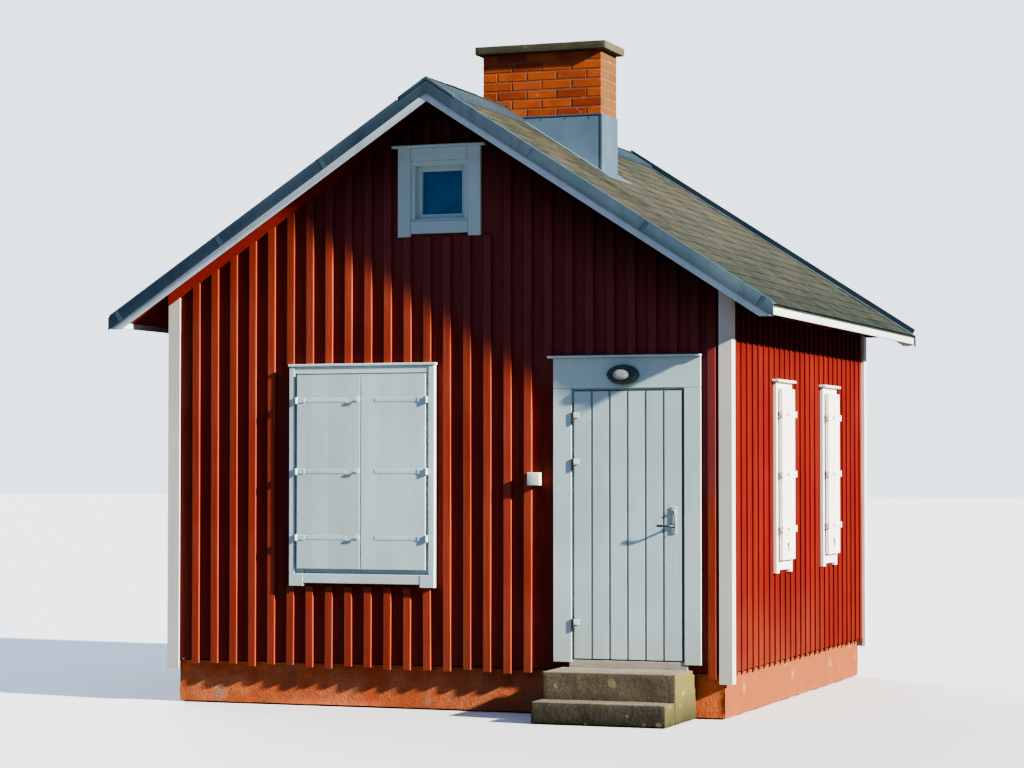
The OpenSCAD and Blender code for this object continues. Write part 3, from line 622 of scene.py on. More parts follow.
def paintedWood(name, base, colours=(), **changes):
    # colours: the paint, its faded patches and its shaded fibres, where they differ from the base look
    look = {**base, **dict(zip(("colour", "faded", "shade"), colours)), **changes}
    material, tree, shader, spot = startMaterial(name, Specular_IOR_Level=0.28)
    grain = use(tree, grainGroup, {"Vector": spot, "Stretch": look["stretch"]})
    weather = use(tree, weatherGroup, {"Vector": spot})
    chips = use(tree, flakeGroup, {"Vector": spot, "Size": 16.0, "Amount": look["chips"]})[0]
    colour = blend(tree, weather["Patch"], look["colour"], look["faded"])
    colour = blend(tree, weather["Streak"], colour, look["shade"], by=look["streaks"])
    colour = blend(tree, grain["Fibre"], colour, look["shade"], by=look["grainTone"])
    colour = brightened(tree, colour, ownTint(tree), look["uneven"])
    height = grain["Height"]
    if "shelter" in look:
        hidden, shaded = use(tree, shelterGroup, {"Vector": spot, "Reach": look["shelter"]})[:2]
        # painted shadow: the gable's red turns darker where the right verge's shadow falls
        if "unfaded" in look:
            colour = blend(tree, shaded, colour, look["unfaded"], by=0.85)
        # painted shade: walls right under the roof darkened where the eaves and verges shade them
        colour = blend(tree, hidden, colour, (0.22, 0.20, 0.24), "MULTIPLY", by=0.85)
    if "across" in look:
        moved = vectorCalc(tree, "ADD", spot, look.get("shift", (0, 0, 0)))[0]
        joints = use(tree, jointGroup, {"Vector": moved, "Across": look["across"], "Board": look["board"]})
        colour = brightened(tree, colour, calc(tree, "SUBTRACT", joints["Board"], 0.5), 0.3)
        colour = blend(tree, joints["Joint"], colour, (0.02, 0.012, 0.008), by=0.8)
        height = calc(tree, "MULTIPLY_ADD", joints["Joint"], -3.0, height)
    if "inside" in look:
        inside = use(tree, roomGroup, {"Vector": spot})[0]
        colour = blend(tree, inside, colour, blend(tree, grain["Fibre"], look["inside"], look["bare"]))
        chips = calc(tree, "MULTIPLY", chips, calc(tree, "SUBTRACT", 1.0, inside))
    colour = blend(tree, chips, colour, look["bare"])
    colour = blend(tree, weather["Splash"], colour, look["soil"], by=look["dirt"])
    rough = span(tree, grain["Height"], 0.3, 0.7, look["rough"] - 0.1, look["rough"] + 0.12)
    height = calc(tree, "MULTIPLY_ADD", chips, -0.5, height)
    endMaterial(tree, shader, colour, rough, height, 0.6, look["depth"])
    return material


upright = (46.0, 46.0, 1.4)
level = (1.6, 46.0, 46.0)
endways = (46.0, 1.6, 46.0)
boardPitch = 0.1645  # from one batten to the next
redLook = {
    "colour": (0.235, 0.034, 0.020), "faded": (0.29, 0.048, 0.027), "shade": (0.12, 0.013, 0.009),
    "bare": (0.30, 0.20, 0.13), "soil": (0.20, 0.07, 0.04), "inside": (0.42, 0.28, 0.16),
    "stretch": upright, "streaks": 0.45, "grainTone": 0.4, "chips": 0.15, "dirt": 0.4,
    "rough": 0.78, "depth": 0.0022, "uneven": 0.14, "shelter": 0.55,
}
bareLook = {key: value for key, value in redLook.items() if key != "shelter"}
whiteLook = {
    "colour": (0.66, 0.78, 0.76), "faded": (0.57, 0.69, 0.69), "shade": (0.42, 0.51, 0.50),
    "bare": (0.36, 0.32, 0.27), "soil": (0.45, 0.43, 0.36),
    "stretch": upright, "streaks": 0.22, "grainTone": 0.12, "chips": 0.1, "dirt": 0.35,
    "rough": 0.5, "depth": 0.0010, "uneven": 0.05,
}
# painted light: warmer, brighter whites for the side casings and shutters and the corner boards, standing in for the
# warm sun on the right wall and light thrown back by the red walls
warmLook = {
    **whiteLook, "colour": (0.84, 0.81, 0.76), "faded": (0.76, 0.73, 0.68), "shade": (0.58, 0.55, 0.50), "dirt": 0.15,
}
# painted shadow: the red of the gables where the right verge's shadow falls on them
unfaded = (0.255, 0.062, 0.058)
# painted light and shade: one paint covers boards and battens, but the battens take a brighter red so they look sunlit
# and the boards between them shaded; the side walls and their strips take a darker red, against the sun that falls on
# them nearly square
redBoards = paintedWood("redBoards", redLook, unfaded=unfaded)
redSide = paintedWood(
    "redSide", redLook, ((0.165, 0.010, 0.004), (0.20, 0.018, 0.008), (0.10, 0.006, 0.003)),
    across=(0, 1, 0), board=boardPitch, shift=(0, 0.0335, 0), streaks=0.35, shelter=0.45,
)
redBattens = paintedWood(
    "redBattens", redLook, ((0.385, 0.070, 0.036), (0.44, 0.098, 0.052), (0.22, 0.030, 0.017)),
    streaks=0.3, unfaded=unfaded,
)
redSideBattens = paintedWood(
    "redSideBattens", redLook, ((0.17, 0.011, 0.005), (0.205, 0.020, 0.009), (0.105, 0.007, 0.004)),
    streaks=0.25, shelter=0.45,
)
redVerge = paintedWood(
    "redVerge", redLook, ((0.40, 0.040, 0.020), (0.45, 0.060, 0.034), (0.27, 0.026, 0.014)),
    stretch=level, streaks=0.2, dirt=0.0,
)
redSoffit = paintedWood(
    "redSoffit", bareLook, ((0.30, 0.035, 0.016),),
    stretch=endways, across=(math.cos(pitch), 0, -math.sin(pitch)), board=0.13, dirt=0.0,
)
redRafters = paintedWood("redRafters", bareLook, stretch=level, dirt=0.0)
whiteUpright = paintedWood("whiteUpright", whiteLook)
whiteLevel = paintedWood("whiteLevel", whiteLook, stretch=level)
whiteEave = paintedWood("whiteEave", whiteLook, stretch=endways, streaks=0.3, dirt=0.0)
# painted shade: a bluer white for the bargeboards, which lie in shade under the flashing
whiteVerge = paintedWood(
    "whiteVerge", whiteLook, ((0.70, 0.79, 0.86), (0.64, 0.74, 0.82)), stretch=level, streaks=0.35, dirt=0.0,
)
whiteShutters = paintedWood("whiteShutters", whiteLook, ((0.65, 0.78, 0.77),), dirt=0.15, uneven=0.10)
whiteDoor = paintedWood("whiteDoor", whiteLook, ((0.64, 0.77, 0.78),), streaks=0.3)
# painted shade: a darker white for the faces inside the door's grooves, where shade falls
whiteSeam = paintedWood("whiteSeam", whiteLook, ((0.38, 0.46, 0.46), (0.32, 0.39, 0.39), (0.20, 0.25, 0.25)))
whiteCorner = paintedWood("whiteCorner", warmLook, ((0.68, 0.67, 0.64), (0.62, 0.61, 0.57)))
whiteSunny = paintedWood("whiteSunny", warmLook)
whiteSunnyLevel = paintedWood("whiteSunnyLevel", warmLook, stretch=level)
bareFloor = paintedWood(
    "bareFloor", bareLook, ((0.42, 0.29, 0.17), (0.47, 0.35, 0.23), (0.22, 0.14, 0.08)),
    bare=(0.3, 0.2, 0.12), stretch=endways, dirt=0.0, rough=0.6,
)
wornSill = paintedWood(
    "wornSill", bareLook, ((0.52, 0.49, 0.40), (0.60, 0.57, 0.48), (0.30, 0.27, 0.21)),
    bare=(0.38, 0.33, 0.26), stretch=level, dirt=0.25, rough=0.7, chips=0.3,
)


def roughStone(name, scale, colours, growth, streaks, rough, depth, **look):
    # colours: two that drift into each other, pits, stain, lichen; growth: the lichen's size, cover, weight
    material, tree, shader, spot = startMaterial(name, Specular_IOR_Level=look.get("gloss", 0.5))
    wide = cloud(tree, spot, scale, 5.0)
    fine = cloud(tree, spot, scale * 14, 6.0, Roughness=0.65)
    weather = use(tree, weatherGroup, {"Vector": spot, "Size": scale * 0.7})
    blooms = use(tree, spotGroup, {"Vector": spot, "Size": growth[0], "Cover": growth[1]})[0]
    tint = ownTint(tree)
    colour = blend(tree, span(tree, wide, 0.38, 0.62), colours[0], colours[1])
    colour = blend(tree, span(tree, fine, 0.45, 0.7, 0.0, 0.6), colour, colours[2])
    for middle, tone in look.get("tones", ()):
        # single bricks or slates of another tone, picked by their own tint
        away = calc(tree, "ABSOLUTE", calc(tree, "SUBTRACT", tint, middle))
        colour = blend(tree, span(tree, away, 0.12, 0.26, 0.65, 0.0), colour, tone)
    colour = brightened(tree, colour, tint, look.get("uneven", 0.3))
    colour = blend(tree, weather["Streak"], colour, colours[3], by=streaks)
    if "flank" in look:
        # painted light and shade by the way a face looks: upright faces made darker or lighter, and faces turned to
        # the sun given a darker colour against its light
        facing = axesOf(tree, put(tree, "ShaderNodeNewGeometry").outputs["Normal"])
        steep = span(tree, facing["Z"], 0.3, 0.75, 0.8, 0.0)
        colour = blend(tree, steep, colour, look["riser"], "MULTIPLY")
        sunny = span(tree, facing["X"], 0.4, 0.8, 0.0, look["bleach"])
        colour = blend(tree, sunny, colour, look["flank"])
    for i, tone in enumerate(look.get("mottle", ())):
        moved = vectorCalc(tree, "ADD", spot, (7.3 * i + 2.0, 1.7 * i, 0.0))[0]
        patch = cloud(tree, moved, 2.6, 4.0, Roughness=0.6)
        colour = blend(tree, span(tree, patch, 0.48, 0.68, 0.0, 0.5), colour, tone)
    # painted shade: darker towards the bottom, the slates towards the eave and the steps towards the ground
    if "damp" in look:
        wet = span(tree, axesOf(tree, spot)["Z"], *look["dampFrom"], 1.0, 0.0)
        wet = calc(tree, "MULTIPLY", wet, span(tree, wide, 0.3, 0.6, 0.6, 1.0))
        colour = blend(tree, wet, colour, look["damp"], "MULTIPLY")
    colour = blend(tree, blooms, colour, colours[4], by=growth[2])
    roughness = span(tree, fine, 0.3, 0.7, rough - 0.1, rough + 0.05)
    height = calc(tree, "MULTIPLY_ADD", blooms, 0.25, fine)
    endMaterial(tree, shader, colour, roughness, height, 0.8, depth)
    return material


plinthPaint = roughStone(
    "plinthPaint", 4.0,
    ((0.50, 0.125, 0.045), (0.60, 0.21, 0.09), (0.22, 0.09, 0.05), (0.28, 0.14, 0.08), (0.36, 0.33, 0.24)),
    (9.0, 0.12, 0.5), streaks=0.5, rough=0.9, depth=0.006,
    riser=(1.45, 1.33, 1.28), flank=(0.26, 0.085, 0.030), bleach=0.9,
)
castConcrete = roughStone(
    "castConcrete", 3.0,
    ((0.24, 0.215, 0.165), (0.33, 0.30, 0.23), (0.08, 0.07, 0.055), (0.09, 0.08, 0.055), (0.38, 0.34, 0.19)),
    (16.0, 0.2, 0.55), streaks=0.35, rough=0.88, depth=0.004,
    riser=(0.58, 0.49, 0.38), flank=(0.155, 0.137, 0.044), bleach=0.9,
    damp=(0.28, 0.33, 0.33), dampFrom=(0.02, 0.24),
)
slateStone = roughStone(
    "slateStone", 5.0,
    ((0.046, 0.050, 0.038), (0.064, 0.062, 0.043), (0.018, 0.020, 0.020), (0.032, 0.045, 0.038), (0.16, 0.16, 0.10)),
    (17.0, 0.3, 0.35), streaks=0.3, rough=0.85, depth=0.003, uneven=0.20, gloss=0.25,
    tones=((-0.8, (0.033, 0.045, 0.029)), (0.25, (0.086, 0.081, 0.052)), (0.8, (0.078, 0.055, 0.039))),
    mottle=((0.046, 0.060, 0.031), (0.078, 0.052, 0.036), (0.090, 0.084, 0.056)),
    damp=(0.38, 0.55, 0.58), dampFrom=(3.05, 4.0),
)
roofFelt = roughStone(
    "roofFelt", 6.0,
    ((0.05, 0.05, 0.045), (0.07, 0.065, 0.05), (0.03, 0.03, 0.03), (0.03, 0.03, 0.03), (0.12, 0.12, 0.08)),
    (20.0, 0.1, 0.3), streaks=0.2, rough=0.9, depth=0.002,
)
firedBrick = roughStone(
    "firedBrick", 9.0,
    ((0.60, 0.130, 0.030), (0.47, 0.092, 0.026), (0.26, 0.06, 0.026), (0.22, 0.09, 0.05), (0.5, 0.36, 0.2)),
    (26.0, 0.08, 0.4), streaks=0.2, rough=0.88, depth=0.003, uneven=0.22,
    tones=((-0.7, (0.42, 0.062, 0.024)), (0.1, (0.56, 0.125, 0.045)), (0.7, (0.44, 0.110, 0.026))),
    riser=(1.0, 1.0, 1.0), flank=(0.125, 0.075, 0.027), bleach=0.88,
)
limeMortar = roughStone(
    "limeMortar", 8.0,
    ((0.36, 0.155, 0.070), (0.30, 0.125, 0.058), (0.20, 0.09, 0.05), (0.2, 0.14, 0.1), (0.5, 0.46, 0.34)),
    (20.0, 0.1, 0.3), streaks=0.3, rough=0.93, depth=0.003,
    riser=(1.0, 1.0, 1.0), flank=(0.16, 0.105, 0.055), bleach=0.85,
)
capStone = roughStone(
    "capStone", 5.0,
    ((0.085, 0.088, 0.055), (0.13, 0.115, 0.065), (0.055, 0.06, 0.05), (0.22, 0.13, 0.06), (0.25, 0.26, 0.16)),
    (18.0, 0.25, 0.5), streaks=0.4, rough=0.9, depth=0.004,
)


def metalFinish(name, metallic, scale, colours, streaks, rusty, rough, depth=0.0008):
    # colours: two that drift into each other, stain, rust
    material, tree, shader, spot = startMaterial(name, Metallic=metallic)
    weather = use(tree, weatherGroup, {"Vector": spot, "Size": scale})
    chips = use(tree, flakeGroup, {"Vector": spot, "Size": scale * 9, "Amount": rusty})[0]
    fine = cloud(tree, spot, scale * 30, 4.0)
    colour = blend(tree, weather["Patch"], colours[0], colours[1])
    colour = blend(tree, weather["Streak"], colour, colours[2], by=streaks)
    colour = brightened(tree, colour, ownTint(tree), 0.12)
    colour = blend(tree, chips, colour, colours[3])
    roughness = span(tree, fine, 0.3, 0.7, rough - 0.08, rough + 0.12)
    endMaterial(tree, shader, colour, roughness, calc(tree, "MULTIPLY_ADD", chips, 0.4, fine), 0.35, depth)
    return material


roofSheet = metalFinish(
    "roofSheet", 0.25, 1.6, ((0.092, 0.145, 0.19), (0.135, 0.195, 0.24), (0.05, 0.08, 0.10), (0.25, 0.15, 0.09)),
    streaks=0.5, rusty=0.12, rough=0.5,
)
darkSheet = metalFinish(
    "darkSheet", 0.25, 1.6, ((0.034, 0.056, 0.076), (0.052, 0.078, 0.10), (0.025, 0.04, 0.05), (0.14, 0.09, 0.06)),
    streaks=0.4, rusty=0.1, rough=0.55,
)
chimneySheet = metalFinish(
    "chimneySheet", 0.2, 2.4, ((0.097, 0.152, 0.205), (0.125, 0.185, 0.24), (0.10, 0.13, 0.16), (0.3, 0.19, 0.12)),
    streaks=0.45, rusty=0.1, rough=0.5,
)
blackIron = metalFinish(
    "blackIron", 0.3, 8.0, ((0.022, 0.022, 0.024), (0.04, 0.038, 0.036), (0.07, 0.035, 0.02), (0.16, 0.06, 0.025)),
    streaks=0.3, rusty=0.4, rough=0.55, depth=0.0005,
)
paintedIron = metalFinish(
    "paintedIron", 0.0, 8.0, ((0.50, 0.56, 0.55), (0.42, 0.47, 0.46), (0.30, 0.26, 0.22), (0.16, 0.07, 0.03)),
    streaks=0.3, rusty=0.25, rough=0.55, depth=0.0005,
)
darkSteel = metalFinish(
    "darkSteel", 0.6, 9.0, ((0.17, 0.175, 0.17), (0.22, 0.22, 0.21), (0.09, 0.08, 0.07), (0.16, 0.09, 0.05)),
    streaks=0.3, rusty=0.08, rough=0.42, depth=0.0003,
)
lampMetal = metalFinish(
    "lampMetal", 0.2, 9.0, ((0.090, 0.108, 0.118), (0.13, 0.15, 0.155), (0.03, 0.035, 0.035), (0.2, 0.12, 0.08)),
    streaks=0.3, rusty=0.1, rough=0.45, depth=0.0005,
)
switchPlastic = metalFinish(
    "switchPlastic", 0.0, 7.0, ((0.80, 0.80, 0.76), (0.72, 0.71, 0.66), (0.55, 0.52, 0.45), (0.4, 0.32, 0.25)),
    streaks=0.3, rusty=0.03, rough=0.42, depth=0.0003,
)


def glassFinish(name, colour, other, alpha, roughness, scale):
    material, tree, shader, spot = startMaterial(name, IOR=1.45, Alpha=alpha)
    dust = cloud(tree, spot, scale, 5.0)
    shade = blend(tree, span(tree, dust, 0.35, 0.7), colour, other)
    rough = span(tree, dust, 0.3, 0.7, roughness, roughness + 0.15)
    endMaterial(tree, shader, shade, rough, dust, 0.1, 0.0008)
    return material


# painted reflection and shade: the attic panes get a bright blue that stands in for the sky's reflection, the lower
# panes a dark copy of the same glass
atticPane = glassFinish("atticPane", (0.018, 0.195, 0.39), (0.030, 0.25, 0.46), 0.93, 0.06, 6.0)
roomPane = glassFinish("roomPane", (0.007, 0.032, 0.052), (0.013, 0.050, 0.078), 0.93, 0.05, 6.0)
opalGlass = glassFinish("opalGlass", (0.52, 0.55, 0.56), (0.43, 0.46, 0.47), 1.0, 0.18, 20.0)
print("stage: finishes made")


# Battens on the gables, cover strips on the sides

frieze = {"drop": 0.150, "top": 0.062, "proud": 0.033, "corner": 0.025, "leg": 0.075}
battens = {
    "first": -2.074, "count": 26, "width": 0.063, "proud": 0.028, "foot": 0.300, "uneven": 0.022, "lean": 0.002,
    "beside": 2.165,  # the one batten right of the door
    "corner": 0.0035, "bow": 0.004, "step": 0.35, "material": redBattens, "chance": 3,
}
strips = {
    "first": 0.165, "last": 0.3, "width": 0.045, "proud": 0.011, "foot": 0.318, "uneven": 0.012, "underDeck": 0.016,
    "corner": 0.0025, "bow": 0.003, "step": 0.4, "material": redSideBattens, "chance": 7,
}
holeGap = 0.002  # between a batten's end and a casing
sideWindows = (1.508, 3.054)  # middles, from the front boards


def roofAt(x, width):
    # a batten's top, tucked behind the frieze board
    return ridgeZ - max(abs(x) - width / 2, 0) * slope - frieze["drop"] - 0.003


def cutRuns(z0, z1, holes):
    # what is left of an upright run once the casings' heights are taken out
    pieces = [(z0, z1)]
    for a, b in holes:
        pieces = [
            part for s, e in pieces
            for part in ((s, min(e, a)), (max(s, b), e)) if part[1] - part[0] > 0.03
        ]
    return pieces


def frontHoles(x, width, back):
    holes = []
    for node in ("attic_casings",) if back else ("attic_casings", "front_casing", "door_casing"):
        lows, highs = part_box(node)
        if lows.x - width / 2 < x < highs.x + width / 2:
            foot = 0 if node == "door_casing" else lows.z - holeGap
            holes.append((foot, highs.z + holeGap))
    return holes


def growUpright(name, side, runs, look, seed):
    # runs: the x at the foot, the x at the top, foot and top of each batten on one wall
    place = wallPlace(side)
    depth = -look["proud"] / 2
    ends = [(place @ Vector((x0, depth, z0)), place @ Vector((x1, depth, z1))) for x0, x1, z0, z1 in runs]
    growBoards(name, ends, place.to_3x3() @ Vector((0, -1, 0)), {
        "Width": look["width"], "Thickness": look["proud"], "Corner": look["corner"], "Bow": look["bow"],
        "Step": look["step"], "Seed": seed, "Material": look["material"],
    }, "red_boards", seed=look["chance"])


def growFrontBattens(side):
    back = side == "back"
    chance = random.Random(11 if back else 5)
    width = battens["width"]
    runs = []
    for i in range(battens["count"]):
        x = battens["first"] + i * boardPitch
        foot = battens["foot"] + chance.uniform(0, battens["uneven"])
        for z0, z1 in cutRuns(foot, roofAt(x, width), frontHoles(x, width, back)):
            lean = chance.uniform(-battens["lean"], battens["lean"])
            runs.append((x + lean, x - lean, z0, z1))
    if not back:
        x = battens["beside"]
        runs.append((x, x, battens["foot"], roofAt(x, 0.05)))
    growUpright(side + "Battens", side, runs, battens, 2.0 if back else 1.0)


def growSideStrips(side):
    sign = 1 if side == "right" else -1
    chance = random.Random(21)
    casing = (low("side_casings").z - holeGap, high("side_casings").z + holeGap)
    reach = 0.245 + strips["width"] / 2  # half a casing and half a strip
    top = deckUnder - halfWidth * slope - strips["underDeck"]
    runs = []
    for i in range(int((backY - frontY - strips["last"]) / boardPitch) + 1):
        y = frontY + strips["first"] + i * boardPitch
        foot = strips["foot"] + chance.uniform(0, strips["uneven"])
        covered = any(abs(y - (frontY + along)) < reach for along in sideWindows)
        for z0, z1 in cutRuns(foot, top, [casing] if covered else []):
            runs.append((y * sign, y * sign, z0, z1))
    growUpright(side + "Strips", side, runs, strips, 4.0)


growFrontBattens("front")
growFrontBattens("back")
growSideStrips("right")
growSideStrips("left")
print("stage: battens grown")


# Casings round the door and windows

boards = {"edge": 0.003, "gap": 0.0015}
frontCasing = {
    "middle": -0.635, "width": 1.220, "foot": low("front_casing").z, "low": 0.961, "high": 2.643,
    "cap": high("front_casing").z, "side": 0.120, "head": 0.103, "sill": 0.119, "capEnd": 0.010, "capOut": 0.066,
}
sideCasing = {
    "width": 0.490, "foot": low("side_casings").z, "low": 1.054, "high": 2.528,
    "cap": high("side_casings").z, "side": 0.080, "head": 0.090, "sill": 0.100, "capEnd": 0.036, "capOut": 0.060,
}
atticCasing = {
    "middle": 0.0, "width": 0.684, "foot": low("attic_casings").z, "low": 3.656, "high": 4.319,
    "cap": high("attic_casings").z, "side": 0.105, "head": 0.100, "sill": 0.096, "capEnd": 0.042, "capOut": 0.060,
}
casingProud = 0.030


def windowCasing(bm, place, sizes):
    # low and high are the ends of the side boards above their feet; cap is the drip cap's top
    x, w, t = sizes["middle"], sizes["width"] / 2, -casingProud
    base, top = sizes["low"], sizes["high"]
    inner = w - sizes["side"]
    edge = boards["edge"]
    for s in (-1, 1):
        addBlock(bm, (x + s * inner, t, sizes["foot"]), (x + s * w, 0.0, top), edge, place, s * 0.4)
    left, right = x - inner + boards["gap"], x + inner - boards["gap"]
    addBlock(bm, (left, t + 0.002, top - sizes["head"]), (right, 0, top - 0.001), edge, place, 0.1, 1)
    addBlock(bm, (left, t + 0.002, base), (right, 0, base + sizes["sill"]), edge, place, -0.3, 1)
    end = w + sizes["capEnd"]
    addBlock(bm, (x - end, -sizes["capOut"], top), (x + end, 0, sizes["cap"]), 0.004, place, 0.2, 1)


rim = {"proud": 0.0595, "wide": 0.047, "lower": 1.036, "upper": 2.588, "gap": 0.001}


def addRim(bm, place, sizes):
    # the thicker boards that the front shutters close between
    x, w, t = sizes["middle"], sizes["width"] / 2, rim["proud"]
    back = casingProud - 0.002
    edge, inner, gap = boards["edge"], w - sizes["side"], rim["gap"]
    for s in (-1, 1):
        outer = x + s * w
        addBlock(bm, (x + s * (w - rim["wide"]), -t, rim["lower"] + 0.0005), (outer, -back, sizes["high"] - 0.0005),
                 edge, place, s * 0.4)
        addBlock(bm, (x + s * inner, -t, sizes["foot"]), (outer, -back, rim["lower"]), edge, place, s * 0.4)
    addBlock(bm, (x - inner + gap, -t + 0.002, sizes["low"]), (x + inner - gap, -back, rim["lower"] - gap),
             edge, place, 0.0, 1)
    side = w - rim["wide"] - gap
    addBlock(bm, (x - side, -t + 0.004, rim["upper"]), (x + side, -back, sizes["high"] - gap), edge, place, 0.0, 1)


def sideSpots():
    # wall and middle of each side window, along the wall as wallPlace has it
    return [(side, sign * (frontY + along)) for side, sign in (("right", 1), ("left", -1)) for along in sideWindows]


whiteBoards = [whiteUpright, whiteLevel]
bm = newForm()
windowCasing(bm, wallPlace("front"), frontCasing)
addRim(bm, wallPlace("front"), frontCasing)
pieceFrom("frontCasing", bm, whiteBoards, "white_trim", replaces=["front_casing"])

bm = newForm()
for side, middle in sideSpots():
    windowCasing(bm, wallPlace(side), {"middle": middle, **sideCasing})
pieceFrom("sideCasings", bm, [whiteSunny, whiteSunnyLevel], "white_trim", replaces=["side_casings"])

bm = newForm()
for side in ("front", "back"):
    windowCasing(bm, wallPlace(side), atticCasing)
pieceFrom("atticCasings", bm, whiteBoards, "white_trim", replaces=["attic_casings"])

linings = {"thick": 0.016, "front": -0.014, "back": 0.034}


def windowLining(bm, place, x, hole, inner, z, casingZ):
    # boards round a hole: a strip up to the casing in front, and the reveal behind it
    t, y0, y1 = linings["thick"], linings["front"], linings["back"]
    for s in (-1, 1):
        side = x + s * (hole - t)
        addBlock(bm, (side, y0, casingZ[0]), (x + s * inner, -0.0005, casingZ[1]), 0.0015, place, s * 0.2)
        addBlock(bm, (side, -0.0004, z[0]), (x + s * (hole - 0.0005), y1, z[1]), 0.001, place, s * 0.1)
    left, right = x - hole + t, x + hole - t
    for near, far, edge in ((z[0], z[0] + t, casingZ[0]), (z[1], z[1] - t, casingZ[1])):
        addBlock(bm, (left, y0 + 0.001, far), (right, -0.0005, edge), 0.0015, place, 0.1, 1)
        addBlock(bm, (left, -0.0004, near), (right, y1, far), 0.001, place, 0.0, 1)


bm = newForm()
windowLining(bm, wallPlace("front"), frontCasing["middle"], 0.490, 0.4895, (1.080, 2.540), (1.0805, 2.5395))
for side in ("front", "back"):
    windowLining(bm, wallPlace(side), 0.0, 0.220, 0.2365, (3.755, 4.195), (3.7525, 4.2185))
for side, middle in sideSpots():
    windowLining(bm, wallPlace(side), middle, 0.165, 0.1645, (1.154, 2.438), (1.1545, 2.4375))
pieceFrom("windowLinings", bm, whiteBoards, "white_trim")

doorway = {
    "low": 0.930, "high": 2.085, "innerLow": 1.077, "innerHigh": 1.957, "foot": 0.400, "head": 2.450, "top": 2.680,
    "proud": 0.034,
}
bm = newForm()
place = wallPlace("front")
left, right, head, out = doorway["low"], doorway["high"], doorway["head"], -doorway["proud"]
addBlock(bm, (left, out, doorway["foot"]), (doorway["innerLow"], 0, head), 0.003, place, 0.3)
addBlock(bm, (doorway["innerHigh"], out, doorway["foot"]), (right, 0, head), 0.003, place, -0.3)
addBlock(bm, (left, out, head + 0.0015), (right, 0, doorway["top"] - 0.001), 0.003, place, 0.0, 1)
lows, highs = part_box("door_casing")
addBlock(bm, (lows.x, lows.y - frontY, doorway["top"]), (highs.x, 0, highs.z), 0.004, place, 0.1, 1)
pieceFrom("doorCasing", bm, whiteBoards, "white_trim", replaces=["door_casing"])
print("stage: casings made")


# Door, its straps, lever and lock

door = {
    "low": 1.097, "high": 1.937, "foot": 0.430, "top": 2.430, "front": -0.030, "back": 0.015, "brace": 0.012,
    "boards": 6, "groove": 0.014, "recess": 0.005, "deep": 0.010, "axis": 1.087, "spindle": (1.875, 1.427),
    "cylinder": 1.526,
}


def addUpright(bm, outline, z, place, tint):
    # an outline in X and Y, drawn up between two heights
    verts = [(x, y, height) for height in z for x, y in outline]
    n = len(outline)
    faces = [list(range(n)), [n + k for k in range(n)]]
    faces += [[k, (k + 1) % n, (k + 1) % n + n, k + n] for k in range(n)]
    addFaces(bm, verts, faces, place, tint)


def groovedBoards(bm, place, chance):
    # the door's upright boards, with flat-bottomed grooves between them
    y0, y1 = door["front"], door["front"] + door["deep"]
    last = door["boards"] - 1
    width = (door["high"] - door["low"]) / door["boards"]
    half, deep, e = door["groove"] / 2, door["recess"], 0.0015
    for i in range(last + 1):
        a = door["low"] + i * width + 0.0002
        b = a + width - 0.0004
        left = [(a, y0 + deep), (a + half, y0 + deep), (a + half + e, y0)] if i else [(a, y0 + e), (a + e, y0)]
        right = [(b - half - e, y0), (b - half, y0 + deep), (b, y0 + deep)] if i < last else [(b - e, y0), (b, y0 + e)]
        before = len(bm.faces)
        addUpright(bm, left + right + [(b, y1), (a, y1)], (door["foot"], door["top"]), place, chance.uniform(-1, 1))
        bm.faces.ensure_lookup_table()
        # the groove faces take the darker white, painted shade
        for k in ([0, 1] if i else []) + ([len(left), len(left) + 1] if i < last else []):
            bm.faces[before + 2 + k].material_index = 2


def screwHead(bm, place, radius):
    # a domed head with a slot
    outline = [(0, -0.0004), (radius, -0.0004), (radius, 0.0006), (radius * 0.7, 0.0018), (0, 0.0023)]
    addTurned(bm, outline, place, 12)
    reach = radius * 0.62
    addBlock(bm, (-reach, -0.0004, 0.0014), (reach, 0.0004, 0.00245), 0.0002, place, -1.0, 1)


def panHead(bm, place, radius):
    addTurned(bm, [(radius, -0.0006), (radius, 0.0004), (radius * 0.7, 0.0014), (0, 0.0018)], place, 10, kind=1)


faceOut = Matrix.Rotation(math.radians(90), 4, "X")  # local Z comes to point out of a wall


def outward(side, x, z, proud, turn=0.0):
    return wallPlace(side) @ Matrix.Translation((x, -proud, z)) @ faceOut @ Matrix.Rotation(turn, 4, "Z")


bm = newForm()
groovedBoards(bm, place, random.Random(31))
left, right, back = door["low"], door["high"], door["back"] - door["brace"]
addBlock(bm, (left + 0.002, door["front"] + door["deep"], door["foot"] + 0.002), (right - 0.002, back, door["top"] - 0.002),
         0.001, place, -1.0)
for z in (door["foot"] + 0.10, (door["foot"] + door["top"]) / 2 - 0.06, door["top"] - 0.24):
    addBlock(bm, (left + 0.03, back, z), (right - 0.03, door["back"], z + 0.13), 0.003, place, 0.2, 1)
pieceFrom("doorLeaf", bm, [whiteDoor, whiteLevel, whiteSeam], "white_door", body="door", replaces=["door_leaf"])

# black barrels on plates that were painted over with the door
bm = cadForm("door_hinge_straps")
for face in bm.faces:
    face.material_index = 1 if face.calc_center_median().x > door["axis"] + 0.012 else 0
easeEdges(bm, 0.0012)
pieceFrom("doorStraps", bm, [blackIron, whiteDoor], "black_iron", body="door", replaces=["door_hinge_straps"])
softened("doorFrame", "door_frame", 0.002, whiteUpright, "white_trim")
bm = cadForm("hinge_pins")
for face in bm.faces:
    face.material_index = 1 if abs(face.calc_center_median().x - door["axis"]) < 0.05 else 0
easeEdges(bm, 0.0008, 1)
pieceFrom("hingePins", bm, [paintedIron, blackIron], "black_iron", replaces=["hinge_pins"])

